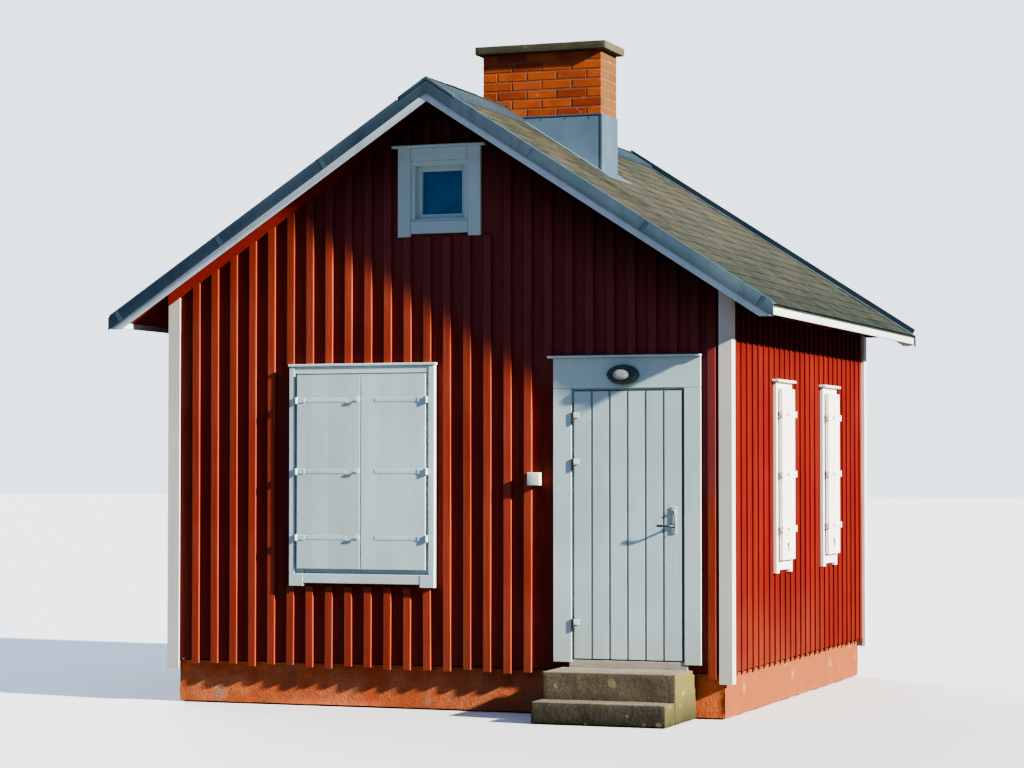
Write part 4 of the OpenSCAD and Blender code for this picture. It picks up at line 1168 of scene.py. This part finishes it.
leverRadii = [
    (0.008, 0.008), (0.0075, 0.0078), (0.0078, 0.008), (0.0072, 0.0088),
    (0.0062, 0.0092), (0.0062, 0.0092), (0.0058, 0.0085), (0.003, 0.005),
]
bm = newForm()
x, z = door["spindle"]
for face, sign, tip in (
    (door["front"], -1, low("door_lever").y - frontY + 0.012), (door["back"], 1, door["back"] + 0.045),
):
    out = tip - face
    addTube(bm, [
        (x, face - sign * 0.004, z), (x, face + out * 0.55, z), (x - 0.004, face + out * 0.85, z),
        (x - 0.014, tip, z), (x - 0.045, tip + sign * 0.001, z), (x - 0.088, tip, z),
        (x - 0.112, tip - sign * 0.003, z), (x - 0.119, tip - sign * 0.004, z),
    ], leverRadii, sides=16, place=place)
pieceFrom("doorLever", bm, [darkSteel], "dull_steel", body="lever", replaces=["door_lever"], degrees=50)


def plateDetails(bm):
    # the plate is painted over with the door, the cylinder and the rose aren't
    lows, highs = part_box("lock_plates")
    x, face = door["spindle"][0], frontY - lows.y
    for z in (highs.z - 0.008, lows.z + 0.008):
        screwHead(bm, outward("front", x, z, face, 0.6), 0.0035)
    spot = outward("front", x, door["cylinder"], face)
    addTurned(bm, [
        (0, -0.001), (0.0118, -0.001), (0.0118, 0.0016), (0.0105, 0.0030), (0.0085, 0.0032), (0.0083, 0.0022),
        (0, 0.0022),
    ], spot, 24)
    addBlock(bm, (-0.0009, -0.0045, 0.0018), (0.0009, 0.0045, 0.0028), 0.0002, spot, -1.0, 1)
    rose = outward("front", x, door["spindle"][1], face)
    addTurned(bm, [(0, -0.001), (0.0165, -0.001), (0.0165, 0.0018), (0.015, 0.0030), (0, 0.0032)], rose, 24)


bm = cadForm("lock_plates")
easeEdges(bm, 0.001)
plain = set(bm.faces)
plateDetails(bm)
for face in bm.faces:
    face.material_index = 0 if face in plain else 1
pieceFrom("lockPlates", bm, [paintedIron, darkSteel], "dull_steel", body="door", replaces=["lock_plates"])

bm = newForm()
addBlock(bm, *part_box("threshold"), 0.006)
pieceFrom("threshold", bm, [wornSill], "bare_wood", replaces=["threshold"])
print("stage: door made")


# Shutters on pin hinges

shutter = {
    "board": 0.135, "groove": 0.0009, "gap": 0.0002, "face": -0.066, "back": -0.040, "pinY": -0.068,
    "strap": 0.030, "strapLift": 0.002, "knuckle": 0.0125, "knuckleTall": 0.050, "root": 0.075,
}
frontShutters = {
    "width": 1.080, "leaf": 0.5365, "z": (1.074, 2.580), "pin": 0.548, "rows": (1.314, 1.827, 2.380), "button": 0.030,
}
sideShutters = {
    "width": 0.400, "leaf": 0.1965, "z": (1.134, 2.478), "pin": 0.208, "rows": (1.374, 1.806, 2.278), "button": 0.024,
}
hasp = {"x": 0.03, "z": 1.255, "ring": [(0.013, 0), (0.013, 0.004), (0.009, 0.006), (0, 0.0065)]}


def closeBoards(bm, place, left, right, z, tone, chance):
    # upright boards whose front edges meet in small V-shaped grooves
    y0, y1, gap, chamfer, plain = shutter["face"], shutter["back"], shutter["gap"], shutter["groove"], 0.0015
    count = max(2, round((right - left) / shutter["board"]))
    width = (right - left) / count
    for i in range(count):
        a, b = left + i * width + gap, left + (i + 1) * width - gap
        cutA, deepA = (chamfer, chamfer * 0.8) if i else (plain, plain)
        cutB, deepB = (chamfer, chamfer * 0.8) if i < count - 1 else (plain, plain)
        outline = [(a, y0 + deepA), (a + cutA, y0), (b - cutB, y0), (b, y0 + deepB), (b, y1), (a, y1)]
        addUpright(bm, outline, z, place, tone + chance.uniform(-0.5, 0.5))


def turnButton(bm, place, x, z):
    # a small staple with a turning button where two leaves meet
    face = shutter["face"] - 0.0001
    for (x0, y0, z0), (x1, y1, z1), edge, tint in (
        ((-0.013, -0.0035, -0.018), (0.013, 0.0, 0.018), 0.001, 0.0),
        ((-0.005, -0.013, -0.005), (0.005, -0.003, 0.005), 0.001, 0.1),
        ((-0.030, -0.019, -0.009), (0.024, -0.0125, 0.009), 0.002, 0.2),
    ):
        addBlock(bm, (x + x0, face + y0, z + z0), (x + x1, face + y1, z + z1), edge, place, tint, 1)


def shutterLeaf(bm, place, middle, hinge, sizes, seed):
    # hinge -1: the pin is at the low-X side; the straps run from it across the leaf
    face, lift = shutter["face"], shutter["strapLift"]
    edge = middle + hinge * sizes["width"] / 2
    left, right = sorted((edge, edge - hinge * sizes["leaf"]))
    closeBoards(bm, place, left, right, sizes["z"], hinge * 0.4, random.Random(seed))
    pin = middle + hinge * sizes["pin"]
    end = pin - hinge * (right - left) * 0.8
    a, b = sorted((pin - hinge * 0.006, end))
    tall, wide = shutter["knuckleTall"] / 2, shutter["strap"] / 2
    for z in sizes["rows"]:
        addBlock(bm, (a, face - lift, z - wide), (b, face + 0.001, z + wide), 0.0012, place, 0.0, 1)
        rod = [place @ Vector((pin, shutter["pinY"], z + up)) for up in (-tall, tall)]
        addRod(bm, *rod, shutter["knuckle"], sides=14, kind=1)
        root = pin - hinge * shutter["root"]
        addBlock(bm, (pin, face - 0.0045, z - 0.017), (root, face + 0.001, z + 0.017), 0.001, place, 0.0, 1)
        for part in (0.12, 0.42, 0.72):
            spot = Matrix.Translation((pin + (end - pin) * part, face - lift, z))
            panHead(bm, place @ spot @ faceOut, 0.0042)
    if hinge < 0:
        for z in sizes["rows"]:
            turnButton(bm, place, middle - sizes["button"], z + 0.004)


def sideLeaf(bm, side, along, hinge):
    place = wallPlace(side)
    middle = (frontY + along) if side == "right" else -(frontY + along)
    shutterLeaf(bm, place, middle, hinge, sideShutters, round(along * 10) + hinge)
    if hinge < 0:
        x, face = middle - hasp["x"], shutter["face"]
        addTurned(bm, hasp["ring"], place @ Matrix.Translation((x, face, hasp["z"])) @ faceOut, 14, kind=2)
        hook = [place @ Vector((x + across, face - 0.005, z)) for across, z in ((0, 1.25), (0.012, 1.20))]
        addRod(bm, *hook, 0.0032, sides=10, kind=2)


for name, hinge in (("left", -1), ("right", 1)):
    bm = newForm()
    shutterLeaf(bm, wallPlace("front"), frontCasing["middle"], hinge, frontShutters, 41 + hinge)
    pieceFrom("front" + name.title() + "Shutter", bm, [whiteShutters, whiteLevel], "white_shutters",
              body="front_" + name + "_leaf", replaces=["front_shutter_" + name])
sunnyShutter = [whiteSunny, whiteSunnyLevel, blackIron]
for window, along in zip(("near", "far"), sideWindows):
    for name, hinge in (("left", -1), ("right", 1)):
        bm = newForm()
        sideLeaf(bm, "right", along, hinge)
        pieceFrom(window + name.title() + "Shutter", bm, sunnyShutter, "white_shutters",
                  body=window + "_" + name + "_leaf", replaces=[window + "_shutter_" + name])
bm = newForm()
for along in sideWindows:
    for hinge in (-1, 1):
        sideLeaf(bm, "left", along, hinge)
pieceFrom("leftShutters", bm, sunnyShutter, "white_shutters", replaces=["left_shutters"])
print("stage: shutters made")


# Slates on their underlay

roof = {
    "long": 0.300, "rows": 20, "across": 23, "thick": 0.0055, "underlay": 0.0068,
    "uneven": 0.0016, "gap": 0.003, "deck": -0.0218,
}
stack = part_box("chimney_stack")
slopeLength = eaveX / math.cos(pitch)


def slopePlace(side, y, down, lift):
    # local X runs along the ridge, Y up the slope, Z out of the roof
    up = Vector((-side * math.cos(pitch), 0, math.sin(pitch)))
    out = Vector((side * math.sin(pitch), 0, math.cos(pitch)))
    turned = Matrix((up.cross(out), up, out)).transposed().to_4x4()
    return Matrix.Translation(roofPlace(side, y, down, lift)) @ turned


def slateShape(bm):
    # one slate with a ragged lower edge, its top edge at +Y
    chance = random.Random(8)
    w, l, t = 0.5, roof["long"] / 2, roof["thick"]
    steps = 5
    lower = [
        (-w + i / steps, -l + (chance.uniform(0, 0.006) if 0 < i < steps else 0.003)) for i in range(steps + 1)
    ]
    ring = lower + [(w, -l * 0.3), (w, l), (-w, l), (-w, -l * 0.3)]
    n = len(ring)
    inset = [(x * 0.985, y + (0.003 if y < 0 else 0)) for x, y in ring]
    verts = [(x, y, 0) for x, y in ring] + [(x, y, t * 0.62) for x, y in ring] + [(x, y, t) for x, y in inset]
    faces = [list(range(n)), [2 * n + k for k in range(n)]]
    for base in (0, n):
        faces += [[base + k, base + (k + 1) % n, base + (k + 1) % n + n, base + k + n] for k in range(n)]
    addFaces(bm, verts, faces)


def stackEdge(side):
    return stack[1].x if side > 0 else -stack[0].x


def slateSpots(side):
    chance = random.Random(17 + side)
    rise = (slopeLength - 0.05) / roof["rows"]
    y0, y1 = vergeFront + 0.004, vergeBack - 0.004
    wide = (y1 - y0) / roof["across"]
    tilt = roof["thick"] / rise
    lift = roof["deck"] + roof["underlay"] + 2 * roof["thick"] - tilt * roof["long"] / 2
    spots = []
    for row in range(roof["rows"]):
        middle = slopeLength - 0.006 - row * rise - roof["long"] / 2
        if middle < 0.10:
            middle = max(middle, roof["long"] / 2 - 0.04)
        marks = [y0 + i * wide for i in range(roof["across"] + 1)]
        if row % 2:
            marks = [y0] + [m + wide / 2 for m in marks[:-1]] + [y1]
        for a, b in zip(marks, marks[1:]):
            parts = [(a, b)]
            if middle * math.cos(pitch) < stackEdge(side):
                parts = [(a, min(b, stack[0].y + 0.03)), (max(a, stack[1].y - 0.03), b)]
            for c, d in parts:
                if d - c < 0.03:
                    continue
                shift = chance.uniform(-0.004, 0.002)
                place = slopePlace(side, (c + d) / 2, middle + shift, lift + 0.0004)
                turn = Euler((
                    -tilt + chance.uniform(-0.004, 0.002), chance.uniform(-0.003, 0.003),
                    chance.uniform(-0.006, 0.006),
                ))
                whole = place.to_3x3() @ turn.to_matrix()
                size = ((d - c - roof["gap"] * chance.uniform(0.5, 1.6)), 1, 1)
                spots.append((place.translation, whole.to_euler(), size, chance.uniform(-1, 1)))
    return spots


slate = helperShape("slateShape", slateShape)
for side, word in ((1, "Right"), (-1, "Left")):
    growShapes("slates" + word, slateSpots(side), {
        "Shape": slate, "Uneven": roof["uneven"], "Grain": 9.0, "Seed": 1.5 + side, "Material": slateStone,
    }, "slates", degrees=25)
    bm = newForm()
    front, back = stack[0].y, stack[1].y
    beside = stackEdge(side) / math.cos(pitch) + 0.001
    for y0, y1, top in ((vergeFront, front, 0.005), (front, back, beside), (back, vergeBack, 0.005)):
        addBlock(bm, (side * y0, -slopeLength + 0.002, roof["deck"]),
                 (side * y1, -top, roof["deck"] + roof["underlay"]), 0.0008, slopePlace(side, 0, 0, 0))
    pieceFrom("underlay" + word, bm, [roofFelt], "slates", replaces=["roof_covering_" + word.lower()])
print("stage: slates laid")


# Sheet metal on the roof, boards at its edges

sheets = {
    "seamEvery": 1.05, "nailEvery": 0.35, "nail": 0.0045, "wideNail": 0.0055, "tuck": 0.0024, "fold": 0.016,
    "upstand": (0.010, 0.042), "thick": 0.006,
}


def nail(bm, place, radius=sheets["nail"]):
    outline = [(radius, -0.0006), (radius, 0.0007), (radius * 0.6, 0.0018), (0, 0.0021)]
    addTurned(bm, outline, place, 8, tint=-1.0)


def vergeDetails(bm):
    lows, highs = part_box("verge_flashing")
    top = sheets["thick"] * math.cos(pitch) + 0.0006
    for side in (1, -1):
        for far, y in enumerate((lows.y, highs.y - sheets["tuck"])):
            place = slopePlace(side, y, 0, 0.0) @ Matrix.Scale(-side if far else side, 4, (1, 0, 0))
            tall = sheets["upstand"][far]
            addBlock(bm, (0.0015, -slopeLength + 0.6 * tall + 0.008, top - 0.004),
                     (sheets["fold"], -0.004 if far else -0.276, top + tall), 0.004, place, kind=far)
            for i in range(1, int(slopeLength / sheets["seamEvery"]) + 1):
                down = i * sheets["seamEvery"] - 0.02
                outline = [(0.0755, top), (-0.0004, top), (-0.0004, -0.079)]
                addSheet(bm, outline, place, -down, -down - 0.035, 0.0012, tint=0.5)
            for i in range(int(slopeLength / sheets["nailEvery"])):
                along = -(0.18 + i * sheets["nailEvery"])
                nail(bm, place @ Matrix.Translation((0.062, along, top - 0.0006)))
                face = place @ Matrix.Translation((0.0, along, -0.062))
                nail(bm, face @ Matrix.Rotation(math.radians(-90), 4, "Y"))


def ridgeDetails(bm):
    lows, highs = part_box("ridge_cap")
    reach, z = highs.x, highs.z
    foot = z - reach * slope - 0.004
    for y in [lows.y + 0.012] + [lows.y + 0.9 + i * sheets["seamEvery"] for i in range(4)]:
        if not stack[0].y - 0.1 < y < stack[1].y + 0.1:
            outline = [(-reach - 0.0003, foot), (0, z + 0.0009), (reach + 0.0003, foot)]
            addSheet(bm, outline, None, y, y + 0.03, 0.0014, tint=0.6)
    lift = (z - ridgeZ) * math.cos(pitch)
    for side in (1, -1):
        for i in range(12):
            y = lows.y + 0.12 + i * 0.43
            if y <= highs.y - 0.05 and not stack[0].y - 0.08 < y < stack[1].y + 0.08:
                nail(bm, slopePlace(side, y, reach / math.cos(pitch) - 0.03, lift))


def collarDetails(bm):
    thick, top = sheets["thick"], ridgeZ - 0.078
    x0, x1, y0, y1 = stack[0].x, stack[1].x, stack[0].y, stack[1].y
    for x, sign in ((x0 - thick - 0.0005, -1), (x1 + thick + 0.0005, 1)):
        for y, way in ((y0 - thick - 0.0005, -1), (y1 + thick + 0.0005, 1)):
            foot = ridgeZ - abs(x) * slope + 0.01
            corner = (x + sign * 0.0012, y + way * 0.0012, top)
            addBlock(bm, (x - sign * 0.018, y, foot), corner, 0.0004, tint=0.7)
            addBlock(bm, (x, y - way * 0.018, foot), corner, 0.0004, tint=0.7)
    for y, way in ((y0 - thick, -1), (y1 + thick, 1)):
        addBlock(bm, (x0 - thick, y, top - 0.012), (x1 + thick, y + way * 0.004, top), 0.0015, tint=0.3)
        for i in range(5):
            spot = Matrix.Translation((x0 + 0.1 + i * 0.205, y + way * 0.0005, top - 0.03))
            nail(bm, spot @ Matrix.Rotation(math.radians(-90 * way), 4, "X"), sheets["wideNail"])
        for side in (1, -1):
            for i in range(int(stackEdge(side) / 0.16)):
                down = (0.1 + i * 0.16) / math.cos(pitch)
                nail(bm, slopePlace(side, y + way * 0.075, down, thick), sheets["wideNail"])


def drawnIn(bm, node, frontBy, backBy):
    # faces at the two gables drawn in a little
    front, back = low(node).y, high(node).y
    for vert in bm.verts:
        if vert.co.y < front + 0.001:
            vert.co.y += frontBy
        elif vert.co.y > back - 0.001:
            vert.co.y -= backBy


bm = cadForm("verge_flashing")
drawnIn(bm, "verge_flashing", 0, sheets["tuck"])
easeEdges(bm, 0.0012)
vergeDetails(bm)
pieceFrom("vergeSheets", bm, [roofSheet, darkSheet], "galvanised", replaces=["verge_flashing"])
bm = cadForm("ridge_cap")
easeEdges(bm, 0.005)
for face in bm.faces:
    middle = face.calc_center_median().y
    face.material_index = 1 if middle < low("ridge_cap").y + 0.006 or middle > high("ridge_cap").y - 0.006 else 0
ridgeDetails(bm)
pieceFrom("ridgeSheet", bm, [darkSheet, roofSheet], "galvanised", replaces=["ridge_cap"])
softened("chimneyCollar", "chimney_flashing", 0.0015, chimneySheet, "galvanised", extra=collarDetails)
bm = cadForm("bargeboards")
drawnIn(bm, "bargeboards", 0.006, 0.006)
easeEdges(bm, 0.003)
pieceFrom("vergeBoards", bm, [whiteVerge], "white_trim", replaces=["bargeboards"])
softened("eaveBoards", "fascias", 0.003, whiteEave, "white_trim")


def underRoof(bm, x0, x1, y0, y1, foot, drop, topDrop=None):
    # a board whose top follows the roof slope; its foot too when "foot" is None
    def height(x, by):
        return ridgeZ - abs(x) * slope - by

    verts = []
    for y in (y0, y1):
        for x, up in ((x0, 0), (x1, 0), (x1, 1), (x0, 1)):
            z = height(x, drop) if up else (height(x, topDrop) if foot is None else foot)
            verts.append((x, y, z))
    addFaces(bm, verts, [[0, 1, 2, 3], [4, 5, 6, 7], [0, 1, 5, 4], [1, 2, 6, 5], [2, 3, 7, 6], [3, 0, 4, 7]])


gables = ((frontY, -1), (backY, 1))
outerX = halfWidth + frieze["corner"]
bm = newForm()
for face, out in gables:
    for sign in (-1, 1):
        reach = outerX if sign < 0 else halfWidth - frieze["leg"] - 0.001
        depth = face + out * frieze["proud"]
        underRoof(bm, sign * 0.0006, sign * reach, face, depth, None, frieze["top"], frieze["drop"])
easeEdges(bm, 0.003)
pieceFrom("friezeBoards", bm, [redVerge], "red_boards")

bm = newForm()
foot, tuck = low("corner_boards").z, 0.058
for face, out in gables:
    for sign in (-1, 1):
        drop = frieze["drop"] + 0.001 if sign < 0 else tuck
        inner = sign * (halfWidth - frieze["leg"])
        underRoof(bm, inner, sign * outerX, face, face + out * frieze["corner"], foot, drop)
        y0, y1 = face - out * 0.0006, face - out * frieze["leg"]
        underRoof(bm, sign * halfWidth, sign * outerX, y0, y1, foot, tuck)
easeEdges(bm, 0.003)
pieceFrom("cornerBoards", bm, [whiteCorner], "white_trim", replaces=["corner_boards"])
softened("sashes", "window_sashes", 0.003, whiteUpright, "white_trim")
# attic panes take the painted sky reflection, the lower panes the darker copy
bm = cadForm("window_glass")
for face in bm.faces:
    face.material_index = 0 if face.calc_center_median().z > 3.0 else 1
pieceFrom("windowPanes", bm, [atticPane, roomPane], "pane", replaces=["window_glass"])
print("stage: roof edges made")


# Chimney bricks round a mortar core

chimney = {
    "course": 0.0753, "brick": (0.2475, 0.098, 0.0645), "joint": 0.010, "corner": 0.12, "inset": 0.0022,
    "uneven": 0.0016, "flueFoot": 1.000, "wall": 0.1, "flues": (0.173, 0.423, 0.597, 0.847),
}


def brickShape(bm):
    w, d, h = (n / 2 for n in chimney["brick"])
    addBlock(bm, (-w, -d, -h), (w, d, h), 0.0035)


def brickSpots():
    chance = random.Random(77)
    (x0, y0, z0), (x1, y1, z1) = stack
    long, deep, _ = chimney["brick"]
    joint, corner = chimney["joint"], chimney["corner"]
    courses = int((z1 - z0) / chimney["course"])
    step = (z1 - z0) / courses
    spots = []

    def lay(a, b, c, d, z, crossed=False):
        # a brick that fills x a..b and y c..d
        size = ((d - c) / long, (b - a) / deep, 1) if crossed else ((b - a) / long, (d - c) / deep, 1)
        lean = (chance.uniform(-0.004, 0.004), chance.uniform(-0.004, 0.004))
        turn = (*lean, (math.pi / 2 if crossed else 0) + chance.uniform(-0.003, 0.003))
        place = ((a + b) / 2, (c + d) / 2, z + chance.uniform(-0.001, 0.001))
        spots.append((place, turn, size, chance.uniform(-1, 1)))

    for row in range(courses):
        z = z0 + (row + 0.5) * step
        if row % 2:
            for c, d in ((y0, y0 + deep), (y1 - deep, y1)):
                for i in range(4):
                    a = x0 + i * (long + joint)
                    lay(a, min(a + long, x1), c, d, z)
            for a, b in ((x0, x0 + deep), (x1 - deep, x1)):
                lay(a, b, y0 + deep + joint, y1 - deep - joint, z, True)
        else:
            half = (y1 - y0 - joint) / 2
            for a, b in ((x0, x0 + corner), (x1 - corner, x1)):
                lay(a, b, y0, y0 + half, z, True)
                lay(a, b, y1 - half, y1, z, True)
            reach = (x1 - x0 - 2 * corner - 4 * joint) / 3
            for i in range(3):
                a = x0 + corner + joint + i * (reach + joint)
                for c, d in ((y0, y0 + deep), (y1 - deep, y1)):
                    lay(a, a + reach, c, d, z)
    return spots


brick = helperShape("brickShape", brickShape)
growShapes("chimneyBricks", brickSpots(), {
    "Shape": brick, "Uneven": chimney["uneven"], "Grain": 30.0, "Seed": 3.0, "Material": firedBrick,
}, "brick", replaces=["chimney_stack"], degrees=28)

bm = newForm()
(x0, y0, z0), (x1, y1, z1) = stack
i, foot = chimney["inset"], chimney["flueFoot"]
f0, f1 = y0 + chimney["wall"], y1 - chimney["wall"]
cuts = [x0 + i, *(x0 + flue for flue in chimney["flues"]), x1 - i]
addBlock(bm, (x0 + i, y0 + i, z0), (x1 - i, y1 - i, foot), 0.002)
for a, b in ((y0 + i, f0), (f1, y1 - i)):
    addBlock(bm, (x0 + i, a, foot), (x1 - i, b, z1), 0.002)
for a, b in zip(cuts[::2], cuts[1::2]):
    addBlock(bm, (a, f0, foot), (b, f1, z1), 0.0)
pieceFrom("chimneyMortar", bm, [limeMortar], "brick")
print("stage: chimney laid")


# Cast and rough pieces

castLooks = {
    "plinthRing": {"worn": 0.012, "cell": 0.075, "seed": 2.0, "grain": 5.0, "rough": 0.022},
    "lowerStep": {"worn": 0.014, "cell": 0.045, "seed": 5.0, "grain": 6.0, "rough": 0.012},
    "upperStep": {"worn": 0.014, "cell": 0.045, "seed": 9.0, "grain": 6.0, "rough": 0.010},
    "chimneyCapSlab": {"worn": 0.008, "cell": 0.05, "seed": 1.0, "grain": 8.0, "rough": 0.006},
}
for name, node, material, slotName in (
    ("plinthRing", "foundation", plinthPaint, "plinth"), ("lowerStep", "lower_step", castConcrete, "concrete"),
    ("upperStep", "upper_step", castConcrete, "concrete"), ("chimneyCapSlab", "chimney_cap", capStone, "cap_slab"),
):
    roughened(name, node, castLooks[name], material, slotName)


# Floor planks

planks = {"wide": 0.128, "gap": 0.002, "thick": 0.004, "edge": 0.012}
lows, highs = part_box("floor")
z = highs.z + 0.001
runs = []
for i in range(int((highs.y - lows.y - 0.02) / planks["wide"])):
    y = lows.y + 0.01 + (i + 0.5) * planks["wide"]
    ends = [lows.x + planks["edge"], highs.x - planks["edge"]]
    if stack[0].y - planks["wide"] / 2 < y < stack[1].y + planks["wide"] / 2:
        ends[1:1] = [stack[0].x - planks["edge"], stack[1].x + planks["edge"]]
    runs += [((a, y, z), (b, y, z)) for a, b in zip(ends[::2], ends[1::2])]
growBoards("floorPlanks", runs, (0, 0, 1), {
    "Width": planks["wide"] - planks["gap"], "Thickness": planks["thick"], "Corner": 0.0012, "Bow": 0.0006,
    "Step": 0.6, "Seed": 6.0, "Material": bareFloor,
}, "bare_wood", seed=13)


# Lamp over the door and the switch box beside it

lamp = {
    "x": 1.487, "z": 2.551, "face": doorway["proud"], "half": (0.125, 0.075), "glass": (0.066, 0.041),
    "screw": 0.111,
    "bowl": [
        (0, 0), (1, 0), (1, 0.008), (0.965, 0.013), (0.945, 0.038), (0.90, 0.052), (0.80, 0.060), (0.60, 0.064),
        (0.57, 0.062), (0.565, 0.040), (0, 0.040),
    ],
    "dome": [
        (0, 0.0402), (0.985, 0.0402), (1, 0.045), (1, 0.058), (0.975, 0.068), (0.9, 0.0765), (0.72, 0.082),
        (0.45, 0.0845), (0.2, 0.085), (0, 0.0850),
    ],
}


def addOval(bm, outline, half):
    place = outward("front", lamp["x"], lamp["z"], lamp["face"])
    addTurned(bm, outline, place @ Matrix.Diagonal((*half, 1, 1)), 44)


bm = newForm()
addOval(bm, lamp["bowl"], lamp["half"])
for s in (-1, 1):
    panHead(bm, outward("front", lamp["x"] + s * lamp["screw"], lamp["z"], lamp["face"] + 0.056), 0.0045)
for face in bm.faces:
    face.material_index = 0
pieceFrom("lampBody", bm, [lampMetal], "lamp_metal", replaces=["lamp_body"], degrees=40)
bm = newForm()
addOval(bm, lamp["dome"], lamp["glass"])
pieceFrom("lampGlass", bm, [opalGlass], "lamp_opal", replaces=["lamp_glass"], degrees=50)
softened("switchBox", "switch_box", 0.006, switchPlastic, "switch_plastic")
print("stage: small things made")


# Finishes of the pieces that stay as the solids give them

cadFinishes = {
    "front_wall_left": redBoards, "front_wall_right": redBoards, "front_gable": redBoards,
    "back_wall": redBoards, "left_wall": redSide, "right_wall": redSide, "floor": bareFloor,
    "rafters": redRafters, "roof_boards_left": redSoffit, "roof_boards_right": redSoffit,
}
for node, material in cadFinishes.items():
    mesh = cadNodes[node].data
    mesh.materials.clear()
    mesh.materials.append(material)


# Floor, light and camera

studio = {
    "floor": (0.78, 0.79, 0.79), "bounce": (0.135, 0.145, 0.150), "behind": (1.15, 1.30, 1.42),
    "sky": (0.41, 0.61, 1.04), "skyLight": 0.46, "horizon": 0.35, "zenith": 1.55,
    "sun": {"power": 10.4, "colour": (1.0, 0.93, 0.80), "way": (-5.6, 1.0, -2.5), "soft": 1.5},
    "fill": {"power": 2.2, "colour": (0.92, 0.96, 1.0), "way": (3.5, -4.0, -3.2), "soft": 40.0},
    "lens": 92.74, "from": (7.520, -20.789, 1.863), "tilt": 91.8, "turn": 20.258,
}


def makeStage():
    bm = newForm()
    addFaces(bm, [(-90, -60, 0), (90, -60, 0), (90, 140, 0), (-90, 140, 0)], [[0, 1, 2, 3]])
    mesh = bpy.data.meshes.new("stageFloor")
    bm.to_mesh(mesh)
    bm.free()
    material, tree, shader, spot = startMaterial("stageFloor")
    faint = cloud(tree, spot, 1.5, 4.0)
    colour = blend(tree, faint, studio["floor"], tuple(c * 0.97 for c in studio["floor"]))
    seen = put(tree, "ShaderNodeLightPath").outputs["Is Camera Ray"]
    colour = blend(tree, seen, studio["bounce"], colour)  # a quiet ground for the light that comes back up
    endMaterial(tree, shader, colour, span(tree, faint, 0, 1, 0.85, 0.95), faint, 0.05, 0.001)
    mesh.materials.append(material)
    link("stageFloor", mesh)


def makeLight():
    world = bpy.data.worlds.new("softSky")
    bpy.context.scene.world = world
    world.use_nodes = True
    tree = world.node_tree
    tree.nodes.clear()
    seen = put(tree, "ShaderNodeLightPath").outputs["Is Camera Ray"]
    height = axesOf(tree, put(tree, "ShaderNodeTexCoord").outputs["Generated"])["Z"]
    low, top = (studio["skyLight"] * studio[part] for part in ("horizon", "zenith"))
    power = span(tree, height, 0.0, 1.0, low, top)
    lit = put(tree, "ShaderNodeBackground", {"Color": (*studio["sky"], 1), "Strength": power})
    plain = put(tree, "ShaderNodeBackground", {"Color": (*studio["behind"], 1), "Strength": 1.0})
    both = put(tree, "ShaderNodeMixShader", {0: seen, 1: lit.outputs[0], 2: plain.outputs[0]})
    put(tree, "ShaderNodeOutputWorld", {"Surface": both.outputs[0]})
    for name in ("sun", "fill"):
        # the fill comes from behind, for the left side and the back, which the sun doesn't reach
        light = bpy.data.lights.new(name, "SUN")
        light.energy = studio[name]["power"]
        light.color = studio[name]["colour"]
        light.angle = math.radians(studio[name]["soft"])
        holder = link(name, light)
        holder.rotation_euler = Vector(studio[name]["way"]).to_track_quat("-Z", "Y").to_euler()


def makeCamera():
    lens = bpy.data.cameras.new("view")
    lens.lens = studio["lens"]
    lens.sensor_width = 36.0
    lens.clip_end = 400
    view = link("view", lens)
    view.location = studio["from"]
    view.rotation_euler = (math.radians(studio["tilt"]), 0, math.radians(studio["turn"]))
    bpy.context.scene.camera = view


makeStage()
makeLight()
makeCamera()
bpy.context.scene.view_settings.view_transform = "AgX"
bpy.context.scene.view_settings.look = "AgX - High Contrast"

print("stage: scene ready")
